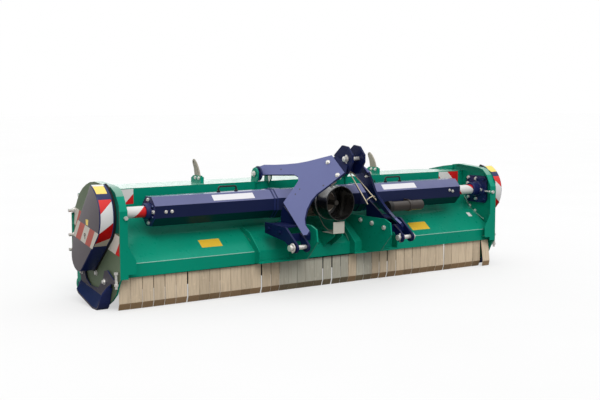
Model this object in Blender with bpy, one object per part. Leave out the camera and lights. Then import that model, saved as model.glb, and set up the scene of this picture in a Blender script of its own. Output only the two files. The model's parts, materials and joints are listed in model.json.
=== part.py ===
"""Tractor flail mower with hammer rotor, twin belt drive and a hinged front flap row.

Metres, +Z up, +X across the working width, -Y towards the tractor. Every length below is written
with Y = 0 on the front face of the apron lip; the root empty then centres the machine on Y.
"""
import math

import bmesh
import bpy
from mathutils import Matrix, Vector

GAP = 0.0003              # clearance between touching pieces
RUN = 0.0004              # running clearance round shafts and pins
GROUND = 0.009            # level of the ground in the coordinates below
SINK = 0.002              # how far a welded or bolted-on piece runs into its neighbour

# Working width and end plates
HALF_WIDTH = 1.500        # half the working width
END_INNER = HALF_WIDTH + 0.003      # inner face of an end plate
END_SHEET = 0.012         # thickness of an end plate
END_FRONT = -0.045        # front edge of an end plate
FLANGE_WIDTH = 0.040      # inward flange round an end plate
FLANGE_SHEET = 0.006
FOOT_WIDTH = 0.092        # where the flange widens over the lip
FOOT_BOTTOM = 0.231
FOOT_TOP = 0.400
RIM_POINTS = 9            # how much of the end plate's outline carries the flange
FLANGE_BOLT_IN = 0.026    # end plate's inner face to the middle of its flange
REAR_EDGE = (0.630, 0.638)       # strip along the end plate's rear edge
REAR_EDGE_BOLTS = (0.310, 0.403, 0.556)
REAR_EDGE_REACH = 0.012   # how far the strip stands out

# Apron lip and deck sheet
LIP_BOTTOM = 0.205
LIP_TOP = 0.289
DECK_SHEET = 0.006
DECK_PATH = (
    (0.0, LIP_BOTTOM), (0.0, LIP_TOP), (0.145, 0.398), (0.195, 0.423), (0.245, 0.468), (0.282, 0.522),
)

# Box beam and top plate
BEAM_FRONT = 0.300
BEAM_DEPTH = 0.140
BEAM_BOTTOM = 0.555
BEAM_TOP = 0.705
BEAM_WALL = 0.008
TOP_PLATE_REAR = 0.615
TOP_PLATE_CORNER = (HALF_WIDTH - 0.230, 0.470)     # where its rear corners are cut
TOP_PLATE_SHEET = 0.006

# Brackets welded to the deck
SIDE_BRACKET = (0.292, 0.304)    # plate that carries a lower clevis, across X
SIDE_BRACKET_BOLTS = ((0.010, 0.432), (-0.112, 0.422), (-0.239, 0.404))
RIB_PLACES = (0.190, 0.560)
RIB_SHEET = 0.008
FIN_AT = 0.030            # fins under the guard's bracket
FIN_SHEET = 0.005

# Cross drive: shafts, casings and belts
SHAFT_Y = 0.135
SHAFT_Z = 0.575
SHAFT_RADIUS = 0.020
SHAFT_SIDES = 20          # facets of the shafts, pulleys and rotor drum
CASING_FLATS = 0.180      # across the flats of the octagonal casing
CASING_WALL = 0.006
CASING_OUTER_END = HALF_WIDTH - 0.260
COLLAR_AT = 0.335
SLEEVE_RADIUS = 0.035
SLEEVE_WALL = 0.005
BEARING_PLATE = (0.215, 0.200)   # depth along Y and height
BEARING_SHEET = 0.012
TENSIONER_RADIUS = 0.0065
TENSIONER_HEAD = 0.013
TENSIONER_DROP = 0.010    # how far the tensioner lies below the shaft's axis
BOSS_RADIUS = 0.045
BOSS_LENGTH = 0.022
CASING_NECK = (0.048, 0.020)     # radius and length of the collar at a casing's outer end
CASING_BOLT_CIRCLE = 0.066
CASING_BOLTS = 6
CASING_END_SHEET = 0.010
UPPER_PULLEY = 0.075
LOWER_PULLEY = 0.042
PULLEY_INNER = END_INNER + 0.032     # inner face of both pulleys
PULLEY_WIDTH = 0.060
PULLEY_GROOVES = 2
GROOVE_DEPTH = 0.006
BELT_INSET = 0.004        # pulley's edge to the belt's edge
SHAFT_NOSE = 0.004        # how far a shaft stands out of its pulley
BELT_THICKNESS = 0.007

# Gearbox and power take-off
GEARBOX_HALF = 0.119
GEARBOX_DEPTH = 0.190
GEARBOX_HEIGHT = 0.200
GEARBOX_WALL = 0.014
NECK_RADIUS = 0.060
NECK_LENGTH = 0.045
NECK_SIDES = 24
PTO_RADIUS = 0.0175
PTO_TEETH = 6
PTO_FRONT = -0.105        # nose of the splined shaft
WHEEL_TEETH = 22
WHEEL_RADIUS = 0.062
PINION_TEETH = 15
PINION_RADIUS = 0.042
GEAR_WIDTH = 0.018
TOOTH = 0.006             # depth of a gear's teeth
SHAFT_SPLIT = 0.030       # where the two halves of the cross shaft meet
GUARD_RADIUS = 0.112
GUARD_FRONT = -0.150
BRACKET_HALF = 0.045      # half width of the bracket under the guard
BRACKET_FACE = -0.132     # its front face
BRACKET_SHELF = 0.375     # underside of its shelf
BRACKET_TOP = 0.452
BRACKET_SHEET = 0.004

# Rotor and hammers
ROTOR_Y = 0.345
ROTOR_Z = 0.285
DRUM_RADIUS = 0.070
DRUM_HALF = HALF_WIDTH - 0.030
ROTOR_SHAFT = 0.028
HAMMER_PIN_CIRCLE = 0.108
HAMMER_PIN_RADIUS = 0.008
PIN_SIDES = 8
PIN_END = 0.006           # how far a hammer pin stands out of its last lugs
HAMMER_REACH = 0.074      # pin to the tip of a hammer
HAMMER_WIDTH = 0.034      # at the pin, across the arm
HAMMER_FACE = 0.060       # along X
HAMMERS_PER_ROW = 7
LUG_SHEET = 0.010
LUG_RADIUS = 0.020
ROW_ANGLES = (45.0, 135.0, 225.0, 315.0)

# Belt covers
COVER_WALL = 0.003
SEAL_DEPTH = 0.012
COVER_FACE = END_INNER + 0.117       # outer face of a belt cover
COVER_ARC = (0.190, 0.570, 0.195)    # centre and radius of the rounded front
COVER_ARC_ANGLES = (110.0, 222.0)
COVER_REAR_CORNER = (0.393, 0.432)
COVER_TIP = (0.330, 0.312, 0.096)
COVER_TIP_ANGLES = (-118.0, 32.0)

# Skid shoes
SKID_SHEET = 0.008
SKID_STAND_OFF = 0.010
SOLE_CLEARANCE = 0.004    # between the sole and the end plate's lower edge
SKID_WIDTH = 0.087        # end plate's inner face to the skid's outer edge
SKID_OUTER = END_INNER + SKID_WIDTH
SKID_FOLD = 0.060         # height of the sloping wear flange

# Front flaps
FLAP_GROUPS = (6, 7, 7, 1, 7, 7, 6)
FLAP_BREAKS = (-1.0, -0.6933, -0.3367, -0.0133, 0.0367, 0.3560, 0.7093, 1.0)  # group ends, in half widths
FLAP_SHEET = 0.005
FLAP_BOTTOM = 0.012
FLAP_FOOT = 0.036
FLAP_KICK = 0.014         # how far the foot is bent inwards
FLAP_SLOT = 0.0015
FLAP_ROD_RADIUS = 0.006
FLAP_EYE_WALL = 0.004
FLAP_ROD_Y = 0.020
FLAP_ROD_Z = 0.262

# Rear hood, horns and roller
HOOD_Y = 0.600
HOOD_Z = 0.650
HOOD_ROD = 0.010
HOOD_EYE_WALL = 0.006
HOOD_HALF = HALF_WIDTH - 0.020
HOOD_SHEET = 0.005
HOOD_PATH = ((0.650, 0.590), (0.672, 0.460), (0.685, 0.300), (0.678, 0.215))
CHEEK_SHEET = 0.006
HORN_X = 0.735            # curved horns that catch the opened hood
HORN_SHEET = 0.010
ROLLER_Y = 0.600
ROLLER_RADIUS = 0.080
ROLLER_SIDES = 24
ROLLER_HALF = HALF_WIDTH - 0.030
JOURNAL_RADIUS = 0.016
ARM_SHEET = 0.010

# Three-point headstock
HITCH_HALF = 0.4225       # lower link points from the centre line
HITCH_Y = -0.305
HITCH_Z = 0.340
LOWER_PIN_RADIUS = 0.014
EAR_SHEET = 0.014
CLEVIS_GAP = 0.070        # between the ears of a lower clevis
SHELF_Z = 0.450           # underside of the bolted shelf
SHELF_SHEET = 0.010
GUSSET_X = 0.346          # plate between the shelf and the side plate's leg
TOP_Y = -0.280
TOP_Z = 0.872
TOP_PIN_RADIUS = 0.0125
TOP_GAP = 0.080           # between the top link ears
PIN_TAIL = 0.028          # how far a link pin stands out of its second ear
HEAD_SHEET = 0.015
ARM_PIN = (0.300, 0.757)  # where the rear arm is pinned in its ears
ARM_PIN_RADIUS = 0.010
HEAD_LOW = Vector((-0.400, -0.280, 0.400))      # three points that the left side plate passes through
HEAD_TOP = Vector((-0.060, -0.200, 0.870))
HEAD_REAR = Vector((-0.320, 0.330, 0.760))

# Parking rest, tool tube and handles
REST_RADIUS = 0.004
REST_TOP = (-0.255, 0.792)
REST_HALF = 0.030
REST_LENGTH = 0.283
REST_LEAN = 40.5
REST_BAR_EXTRA = 0.0005
REST_ARCH = (0.014, 0.032, 0.022)    # from the legs' ends to the arch's feet and top, and its height over the legs
TUBE_RADIUS = 0.036
TUBE_LENGTH = 0.300
TUBE_START = 0.520
TUBE_Y = 0.000
TUBE_Z = 0.507
TUBE_WALL = 0.003
CAP_WALL = 0.004
TUBE_STRAP = (0.175, 0.195)      # where the strap goes round the tube, from its mouth
STRAP_SHEET = 0.004
HANDLE_AT = 0.680
HANDLE_SPAN = 0.130
HANDLE_HEIGHT = 0.034
HANDLE_RADIUS = 0.006

GREEN = (0.000, 0.200, 0.115, 1.0)
BLUE = (0.011, 0.018, 0.100, 1.0)
ZINC = (0.560, 0.540, 0.500, 1.0)
FLAP_STEEL = (0.520, 0.400, 0.250, 1.0)
BLACK = (0.012, 0.012, 0.013, 1.0)
STEEL = (0.350, 0.350, 0.340, 1.0)
WHITE = (0.800, 0.800, 0.800, 1.0)


# Materials

def material(name, colour, roughness, metallic):
    made = bpy.data.materials.get(name)
    if made is None:
        made = bpy.data.materials.new(name)
        made.use_nodes = True
        shader = made.node_tree.nodes["Principled BSDF"]
        shader.inputs["Base Color"].default_value = colour
        shader.inputs["Roughness"].default_value = roughness
        shader.inputs["Metallic"].default_value = metallic
    return made


def green_paint():
    return material("green_paint", GREEN, 0.32, 0.0)


def blue_paint():
    return material("blue_paint", BLUE, 0.28, 0.0)


def zinc_plate():
    return material("zinc_plate", ZINC, 0.35, 0.9)


def black_plastic():
    return material("black_plastic", BLACK, 0.45, 0.0)


def bare_steel():
    return material("bare_steel", STEEL, 0.40, 0.9)


# Outlines in a plane

def arc(y, z, radius, start, end, steps):
    points = []
    for i in range(steps + 1):
        angle = math.radians(start + (end - start) * i / steps)
        points.append((y + radius * math.cos(angle), z + radius * math.sin(angle)))
    return points


def circle(y, z, radius, sides, turn=0.0):
    return arc(y, z, radius, turn, turn + 360.0 * (sides - 1) / sides, sides - 1)


def sheet(path, thickness):
    """A closed outline that lies to the right of an open path, with mitred corners."""
    far = []
    for i, point in enumerate(path):
        here = Vector(point)
        before = (here - Vector(path[i - 1])).normalized() if i else None
        after = (Vector(path[i + 1]) - here).normalized() if i < len(path) - 1 else None
        one = before or after
        two = after or before
        side = (Vector((one.y, -one.x)) + Vector((two.y, -two.x))).normalized()
        reach = thickness / side.dot(Vector((one.y, -one.x)))
        far.append(tuple(here + side * reach))
    return list(path) + far[::-1]


def gear_outline(y, z, root, tip, teeth):
    points = []
    for i in range(teeth):
        for share, radius in ((0.00, root), (0.30, root), (0.42, tip), (0.80, tip)):
            angle = 2.0 * math.pi * (i + share) / teeth
            points.append((y + radius * math.cos(angle), z + radius * math.sin(angle)))
    return points


# Solids

def place(u, v, along, axis):
    """A point from two outline coordinates and a distance along the axis."""
    return {"X": (along, u, v), "Y": (u, along, v), "Z": (u, v, along)}[axis]


def as_object(mesh_builder):
    mesh = bpy.data.meshes.new("solid")
    bmesh.ops.recalc_face_normals(mesh_builder, faces=mesh_builder.faces)
    mesh_builder.to_mesh(mesh)
    mesh_builder.free()
    made = bpy.data.objects.new("solid", mesh)
    bpy.context.scene.collection.objects.link(made)
    return made


def prism(outline, start, end, axis="X"):
    builder = bmesh.new()
    near = [builder.verts.new(place(u, v, start, axis)) for u, v in outline]
    base = builder.faces.new(near)
    raised = bmesh.ops.extrude_face_region(builder, geom=[base])
    moved = [item for item in raised["geom"] if isinstance(item, bmesh.types.BMVert)]
    shift = Vector(place(0.0, 0.0, end - start, axis))
    bmesh.ops.translate(builder, verts=moved, vec=shift)
    return as_object(builder)


def box(x_range, y_range, z_range):
    front, back = y_range
    low, high = z_range
    return prism([(front, low), (back, low), (back, high), (front, high)], x_range[0], x_range[1])


def rod(centre, radius, start, end, sides=20, axis="X", turn=0.0):
    return prism(circle(centre[0], centre[1], radius, sides, turn), start, end, axis)


def bore(centre, radius, start, end, sides=20, axis="X", turn=0.0):
    """A cutter whose flats clear a round piece of this radius by the running clearance."""
    return rod(centre, (radius + RUN) / math.cos(math.pi / sides), start, end, sides, axis, turn)


def turned(profile, centre, sides, axis="X", closed=True):
    """A solid of revolution; the profile holds (along, radius) points."""
    builder = bmesh.new()
    rings = []
    for i in range(sides):
        angle = 2.0 * math.pi * i / sides
        ring = []
        for along, radius in profile:
            u = centre[0] + radius * math.cos(angle)
            v = centre[1] + radius * math.sin(angle)
            ring.append(builder.verts.new(place(u, v, along, axis)))
        rings.append(ring)
    count = len(profile)
    last = count if closed else count - 1
    for i in range(sides):
        one = rings[i]
        two = rings[(i + 1) % sides]
        for j in range(last):
            k = (j + 1) % count
            builder.faces.new((one[j], one[k], two[k], two[j]))
    if not closed:
        builder.faces.new([ring[0] for ring in rings])
        builder.faces.new([ring[-1] for ring in rings])
    return as_object(builder)


def tube(centre, outer, inner, start, end, sides=20, axis="X"):
    return turned(((start, inner), (start, outer), (end, outer), (end, inner)), centre, sides, axis)


def bolt(centre, radius, seat, out, axis="Y"):
    """A hexagon head sunk a little into the face at seat; out is its signed height."""
    return rod(centre, radius, seat - out * 0.1, seat + out, 6, axis)


def in_plane(outline, origin, along, up, thickness):
    """A plate from an outline measured along two directions of a sloping plane."""
    normal = along.cross(up).normalized()
    builder = bmesh.new()
    corners = [builder.verts.new(origin + along * u + up * v) for u, v in outline]
    base = builder.faces.new(corners)
    raised = bmesh.ops.extrude_face_region(builder, geom=[base])
    moved = [item for item in raised["geom"] if isinstance(item, bmesh.types.BMVert)]
    bmesh.ops.translate(builder, verts=moved, vec=normal * thickness)
    return as_object(builder)


def wire(points, radius, sides=8):
    """A round bar bent along a list of points, with flat ends."""
    route = [Vector(point) for point in points]
    builder = bmesh.new()
    rings = []
    side = None
    for i, here in enumerate(route):
        before = (here - route[i - 1]).normalized() if i else None
        after = (route[i + 1] - here).normalized() if i < len(route) - 1 else None
        heading = ((before or after) + (after or before)).normalized()
        if side is None:
            side = heading.orthogonal().normalized()
        side = (side - heading * side.dot(heading)).normalized()
        across = heading.cross(side)
        ring = []
        for k in range(sides):
            angle = 2.0 * math.pi * k / sides
            spoke = side * math.cos(angle) + across * math.sin(angle)
            ring.append(builder.verts.new(here + spoke * radius))
        rings.append(ring)
    for one, two in zip(rings, rings[1:]):
        for k in range(sides):
            builder.faces.new((one[k], one[(k + 1) % sides], two[(k + 1) % sides], two[k]))
    builder.faces.new(rings[0])
    builder.faces.new(rings[-1])
    return as_object(builder)


def baked(source):
    """The object with its curve or modifiers turned into a plain mesh."""
    bpy.context.view_layer.update()
    graph = bpy.context.evaluated_depsgraph_get()
    mesh = bpy.data.meshes.new_from_object(source.evaluated_get(graph))
    made = bpy.data.objects.new("solid", mesh)
    made.matrix_world = source.matrix_world.copy()
    bpy.context.scene.collection.objects.link(made)
    bpy.data.objects.remove(source)
    return made


def combine(first, second, operation):
    step = first.modifiers.new("step", "BOOLEAN")
    step.operation = operation
    step.object = second
    step.solver = "EXACT"
    made = baked(first)
    bpy.data.objects.remove(second)
    return made


def join(first, *others):
    for other in others:
        first = combine(first, other, "UNION")
    return first


def cut(first, *others):
    for other in others:
        first = combine(first, other, "DIFFERENCE")
    return first


def mirrored(source, keep=True):
    """The same solid on the other side of the centre plane, with or without the first one."""
    builder = bmesh.new()
    builder.from_mesh(source.data)
    builder.transform(Matrix.Scale(-1.0, 4, Vector((1.0, 0.0, 0.0))))
    bmesh.ops.reverse_faces(builder, faces=builder.faces)
    mesh = bpy.data.meshes.new("solid")
    builder.to_mesh(mesh)
    builder.free()
    made = bpy.data.objects.new("solid", mesh)
    bpy.context.scene.collection.objects.link(made)
    if not keep:
        bpy.data.objects.remove(source)
    return made


class Machine:
    """Names, materials and parents of the finished pieces."""

    def __init__(self):
        self.root = bpy.data.objects.new("machine", None)
        bpy.context.scene.collection.objects.link(self.root)
        self.pieces = []

    def add(self, solid, name, finish, pivot=(0.0, 0.0, 0.0), smooth=None):
        """Names a solid and puts its origin on the pivot, which lies on a moving piece's axis."""
        solid.name = name
        solid.data.name = name
        solid.data.transform(Matrix.Translation(-Vector(pivot)))
        solid.location = pivot
        solid.parent = self.root
        solid.data.materials.clear()
        solid.data.materials.append(finish)
        if smooth is not None:
            solid.data.shade_smooth()
            solid.data.set_sharp_from_angle(angle=math.radians(smooth))
        self.pieces.append(solid)
        return solid

    def add_pair(self, right, name, finish, pivot=(0.0, 0.0, 0.0), smooth=None):
        """A right-hand solid and its left-hand twin."""
        left = mirrored(right)
        self.add(right, name + "_right", finish, pivot, smooth)
        self.add(left, name + "_left", finish, (-pivot[0], pivot[1], pivot[2]), smooth)

    def centre(self):
        """Puts the ground and the middle of the machine's depth at the origin."""
        bpy.context.view_layer.update()
        reach = [(piece.matrix_world @ Vector(corner)).y for piece in self.pieces for corner in piece.bound_box]
        self.root.location.y = -(min(reach) + max(reach)) / 2.0
        self.root.location.z = -GROUND


# Housing

def end_outline():
    """Side view of an end plate: straight front, domed top, and a bottom that narrows to the ground."""
    upper = [
        (END_FRONT, 0.205), (END_FRONT, 0.605), (0.000, 0.689), (0.040, 0.727), (0.080, 0.738), (0.135, 0.745),
        (0.220, 0.751), (0.300, 0.757), (0.370, 0.749), (0.424, 0.732), (0.486, 0.703), (0.527, 0.672),
        (0.560, 0.636), (0.594, 0.590), (0.638, 0.545), (0.638, 0.400), (0.638, 0.300), (0.630, 0.262),
        (0.600, 0.233), (0.535, 0.200),
    ]
    return upper + [
        (0.480, 0.155), (0.410, 0.105), (0.300, 0.062), (0.208, 0.024), (0.134, 0.032), (0.076, 0.064),
        (0.016, 0.110), (-0.006, 0.152), (-0.030, 0.190),
    ]


def end_plate():
    """Side plate with an inward flange round its front and top, and a wider foot over the lip."""
    outer = END_INNER + END_SHEET
    plate = prism(end_outline(), END_INNER, outer)
    rim = sheet(end_outline()[:RIM_POINTS], FLANGE_SHEET)
    flange = prism(rim, END_INNER - FLANGE_WIDTH, END_INNER + SINK)
    across = (END_INNER + 0.006 - FOOT_WIDTH, END_INNER + SINK)
    outline = [
        (-0.038, FOOT_TOP), (-0.043, 0.394), (-0.057, 0.366), (-0.080, 0.331), (-FOOT_WIDTH, 0.308),
        (-FOOT_WIDTH, FOOT_BOTTOM + 0.008), (0.006 - FOOT_WIDTH, FOOT_BOTTOM), (SINK, FOOT_BOTTOM), (SINK, FOOT_TOP),
    ]
    outline = [(END_INNER + x, z) for x, z in outline]
    foot = prism(outline, END_FRONT, END_FRONT + FLANGE_SHEET, "Y")
    web = box(across, (END_FRONT, -GAP), (FOOT_BOTTOM, FOOT_BOTTOM + FLANGE_SHEET))
    rear_edge = box((outer - SINK, outer + REAR_EDGE_REACH), REAR_EDGE, (0.300, 0.540))
    plate = join(plate, flange, foot, web, rear_edge)
    for z in REAR_EDGE_BOLTS:
        plate = join(plate, bolt((REAR_EDGE[0] - 0.014, z), 0.011, outer, 0.040, "X"))
    slot = (END_INNER - FLANGE_BOLT_IN, tensioner_height())
    return cut(
        plate,
        bore((SHAFT_Y, SHAFT_Z), SHAFT_RADIUS, END_INNER - 0.01, outer + 0.01),
        bore((ROTOR_Y, ROTOR_Z), ROTOR_SHAFT, END_INNER - 0.01, outer + 0.01),
        bore(slot, TENSIONER_RADIUS, END_FRONT - 0.01, END_FRONT + 0.02, 12, "Y"),
    )


def deck():
    """Apron lip, sloping deck and the plates that stiffen it beside the hitch."""
    path = DECK_PATH + ((BEAM_FRONT, BEAM_BOTTOM - GAP),)
    skin = prism(sheet(path, DECK_SHEET), -(END_INNER - GAP), END_INNER - GAP)
    inside = DECK_SHEET - SINK
    outline = [
        (0.0, LIP_BOTTOM + SINK), (-0.200, 0.245), (-0.312, 0.363), (-0.300, 0.440), (-0.240, 0.462),
        (0.110, 0.462), (0.200, 0.425), (0.145, 0.393), (inside, LIP_TOP - SINK), (inside, LIP_BOTTOM + SINK),
    ]
    right = prism(outline, *SIDE_BRACKET)
    rib = [
        (-0.055, 0.225), (-0.060, 0.290), (0.060, 0.400), (0.150, 0.430), (0.190, 0.416),
        (inside, LIP_TOP - 2.0 * SINK), (inside, LIP_BOTTOM + 0.010),
    ]
    for x in RIB_PLACES:
        right = join(right, prism(rib, x, x + RIB_SHEET))
    across = (RIB_PLACES[0], RIB_PLACES[1] + RIB_SHEET)
    right = join(right, box(across, (-0.060, inside), (LIP_BOTTOM + 0.010, LIP_BOTTOM + 0.020)))
    for y, z in SIDE_BRACKET_BOLTS:
        right = join(right, bolt((y, z), 0.012, SIDE_BRACKET[0], -0.012, "X"))
    top = BRACKET_SHELF - GAP
    fin = [
        (BRACKET_FACE + 0.006, top - 0.018), (BRACKET_FACE + 0.006, top), (deck_height(top) + SINK, top),
        (inside, LIP_TOP - 2.0 * SINK), (-SINK, LIP_TOP - 0.012),
    ]
    right = join(right, prism(fin, FIN_AT, FIN_AT + FIN_SHEET))
    left = mirrored(right)
    return join(skin, right, left)


def deck_height(z):
    """Where the slope behind the lip reaches a height."""
    low, high = DECK_PATH[1:3]
    return low[0] + (high[0] - low[0]) * (z - low[1]) / (high[1] - low[1])


def box_beam():
    """Box beam between the end plates, with the flat plate behind it and the brackets on top."""
    length = END_INNER - GAP
    rear = BEAM_FRONT + BEAM_DEPTH
    beam = box((-length, length), (BEAM_FRONT, rear), (BEAM_BOTTOM, BEAM_TOP))
    hollow = ((BEAM_FRONT + BEAM_WALL, rear - BEAM_WALL), (BEAM_BOTTOM + BEAM_WALL, BEAM_TOP - BEAM_WALL))
    beam = cut(beam, box((-length - 0.01, length + 0.01), *hollow))
    corner_x, corner_y = TOP_PLATE_CORNER
    outline = [
        (-length, rear - SINK), (-length, corner_y), (-corner_x, TOP_PLATE_REAR), (corner_x, TOP_PLATE_REAR),
        (length, corner_y), (length, rear - SINK),
    ]
    plate = prism(outline, BEAM_TOP - TOP_PLATE_SHEET, BEAM_TOP, "Z")
    beam = join(beam, plate)
    for side in (-1.0, 1.0):
        beam = join(beam, ear_bracket(side), horn_bracket(side))
    return beam


def ear_bracket(side):
    """A pair of ears over the beam, with the pin that holds the rear end of a headstock side plate."""
    foot = BEAM_TOP - SINK
    front = BEAM_FRONT - 0.010
    outline = [
        (front, 0.590), (front, 0.690), (0.264, 0.722), (0.262, 0.765), (0.278, 0.790), (0.300, 0.799),
        (0.322, 0.790), (0.340, 0.765), (0.347, foot), (BEAM_FRONT + SINK, foot), (BEAM_FRONT + SINK, 0.590),
    ]
    half = 0.005
    inner, outer = sorted((side * 0.268, side * 0.372))
    solid = join(prism(outline, inner - half, inner + half), prism(outline, outer - half, outer + half))
    pin = rod(ARM_PIN, ARM_PIN_RADIUS, inner - 0.010, outer + 0.010, 12)
    return join(solid, pin)


def horn_bracket(side):
    """Two cheeks that clamp the foot of a horn, and the plate across their front."""
    low = BEAM_TOP - SINK
    outline = [(0.382, low), (0.379, 0.742), (0.389, 0.753), (0.470, 0.753), (0.500, 0.735), (0.500, low)]
    middle = side * HORN_X
    reach = HORN_SHEET / 2.0 + GAP
    width = reach + CHEEK_SHEET
    solid = box((middle - width, middle + width), (0.369, 0.379 + SINK), (low, 0.745))
    for start in (middle - width, middle + reach):
        solid = join(solid, prism(outline, start, start + CHEEK_SHEET))
    return solid


# Cross drive

def octagon(flats):
    return circle(SHAFT_Y, SHAFT_Z, flats / 2.0 / math.cos(math.pi / 8.0), 8, 22.5)


def casing():
    """Octagonal casing with a collar strap, and a bolted end plate with a neck round the shaft."""
    start = GEARBOX_HALF + GAP
    outside = prism(octagon(CASING_FLATS), start, CASING_OUTER_END)
    inside = prism(octagon(CASING_FLATS - 2.0 * CASING_WALL), start - 0.01, CASING_OUTER_END - CASING_END_SHEET)
    strap = prism(octagon(CASING_FLATS + 0.010), COLLAR_AT - 0.025, COLLAR_AT + 0.025)
    shell = cut(join(outside, strap), inside)
    radius, length = CASING_NECK
    neck = rod((SHAFT_Y, SHAFT_Z), radius, CASING_OUTER_END - SINK, CASING_OUTER_END + length)
    shell = join(shell, neck)
    for y, z in circle(SHAFT_Y, SHAFT_Z, CASING_BOLT_CIRCLE, CASING_BOLTS, 30.0):
        shell = join(shell, bolt((y, z), 0.008, CASING_OUTER_END, 0.008, "X"))
    hole = bore((SHAFT_Y, SHAFT_Z), SHAFT_RADIUS, CASING_OUTER_END - 0.02, CASING_OUTER_END + length + 0.01)
    return cut(shell, hole)


def shaft_sleeve():
    start = CASING_OUTER_END + CASING_NECK[1] + GAP
    end = END_INNER - GAP - BEARING_SHEET - BOSS_LENGTH - GAP
    return tube((SHAFT_Y, SHAFT_Z), SLEEVE_RADIUS, SLEEVE_RADIUS - SLEEVE_WALL, start, end, 24)


def bearing_corners():
    """Front, back, bottom and top of a bearing plate; its back stays clear of the beam."""
    depth, height = BEARING_PLATE
    back = min(SHAFT_Y + depth / 2.0, BEAM_FRONT - 0.006)
    return SHAFT_Y - depth / 2.0, back, SHAFT_Z - height / 2.0, SHAFT_Z + height / 2.0


def bearing_plate():
    """Bolted plate on the inside of an end plate, with the shaft's bearing boss and the tensioner's lug."""
    back = END_INNER - GAP
    face = back - BEARING_SHEET
    low_y, high_y, low_z, high_z = bearing_corners()
    plate = prism(cut_corners(low_y, high_y, low_z, high_z, 0.022), face, back)
    plate = join(plate, rod((SHAFT_Y, SHAFT_Z), BOSS_RADIUS, face - BOSS_LENGTH, face + SINK, 24))
    for y in (low_y + 0.028, (low_y + high_y) / 2.0, high_y - 0.028):
        for z in (low_z + 0.024, high_z - 0.024):
            plate = join(plate, bolt((y, z), 0.011, face, -0.010, "X"))
    lug_z = (tensioner_height() - TENSIONER_HEAD, tensioner_height() + TENSIONER_HEAD)
    lug = box((END_INNER - FLANGE_BOLT_IN - TENSIONER_HEAD, face + SINK), (low_y, low_y + 0.014), lug_z)
    plate = join(plate, lug)
    return cut(plate, bore((SHAFT_Y, SHAFT_Z), SHAFT_RADIUS, face - BOSS_LENGTH - 0.01, back + 0.01))


def cut_corners(low_u, high_u, low_v, high_v, corner):
    """A rectangle with its four corners cut off."""
    return [
        (low_u + corner, low_v), (high_u - corner, low_v), (high_u, low_v + corner), (high_u, high_v - corner),
        (high_u - corner, high_v), (low_u + corner, high_v), (low_u, high_v - corner), (low_u, low_v + corner),
    ]


def tensioner_height():
    return SHAFT_Z - TENSIONER_DROP


def tensioner():
    """Long bolt through the end plate's flange that pushes the bearing plate's lug back."""
    centre = (END_INNER - FLANGE_BOLT_IN, tensioner_height())
    seat = bearing_corners()[0] - GAP
    inside = END_FRONT + FLANGE_SHEET + GAP
    stem = rod(centre, TENSIONER_RADIUS, END_FRONT - 0.004, seat, 12, "Y")
    head = rod(centre, TENSIONER_HEAD, END_FRONT - GAP - 0.014, END_FRONT - GAP, 6, "Y")
    nut = rod(centre, TENSIONER_HEAD, inside, inside + 0.012, 6, "Y")
    return join(stem, head, nut)


def cross_shaft(start):
    """One half of the cross drive, with its pulley."""
    profile = [(start, SHAFT_RADIUS)] + shaft_end(SHAFT_RADIUS, UPPER_PULLEY)
    return turned(profile, (SHAFT_Y, SHAFT_Z), SHAFT_SIDES, closed=False)


def shaft_end(shaft, pulley):
    """Profile of a grooved pulley and the shaft nose that stands out of it."""
    groove = PULLEY_WIDTH / PULLEY_GROOVES
    floor = pulley - GROOVE_DEPTH
    profile = [(PULLEY_INNER, shaft)]
    for i in range(PULLEY_GROOVES):
        left = PULLEY_INNER + i * groove
        profile += [(left, pulley), (left + 0.35 * groove, floor), (left + 0.65 * groove, floor)]
    end = PULLEY_INNER + PULLEY_WIDTH
    return profile + [(end, pulley), (end, shaft), (end + SHAFT_NOSE, shaft)]


def belt():
    """Flat loop round both pulleys, whose inner facets clear their rims."""
    outer = belt_loop(RUN + BELT_THICKNESS)
    inner = belt_loop(RUN)
    start = PULLEY_INNER + BELT_INSET
    end = PULLEY_INNER + PULLEY_WIDTH - BELT_INSET
    return cut(prism(outer, start, end), prism(inner, start - 0.01, end + 0.01))


def belt_loop(extra):
    big = UPPER_PULLEY + extra
    small = LOWER_PULLEY + extra
    line = Vector((ROTOR_Y - SHAFT_Y, ROTOR_Z - SHAFT_Z))
    heading = math.degrees(math.atan2(line.y, line.x))
    spread = math.degrees(math.acos((big - small) / line.length))
    upper_steps = 18
    lower_steps = 12
    big /= math.cos(math.radians(180.0 - spread) / upper_steps)
    small /= math.cos(math.radians(spread) / lower_steps)
    upper = arc(SHAFT_Y, SHAFT_Z, big, heading + spread, heading + 360.0 - spread, upper_steps)
    lower = arc(ROTOR_Y, ROTOR_Z, small, heading - spread, heading + spread, lower_steps)
    return upper + lower


# Gearbox and power take-off

def gearbox_corners(inset=0.0):
    """Front, back, bottom and top of the gearbox housing."""
    depth = GEARBOX_DEPTH / 2.0 - inset
    height = GEARBOX_HEIGHT / 2.0 - inset
    return SHAFT_Y - depth, SHAFT_Y + depth, SHAFT_Z - height, SHAFT_Z + height


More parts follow.
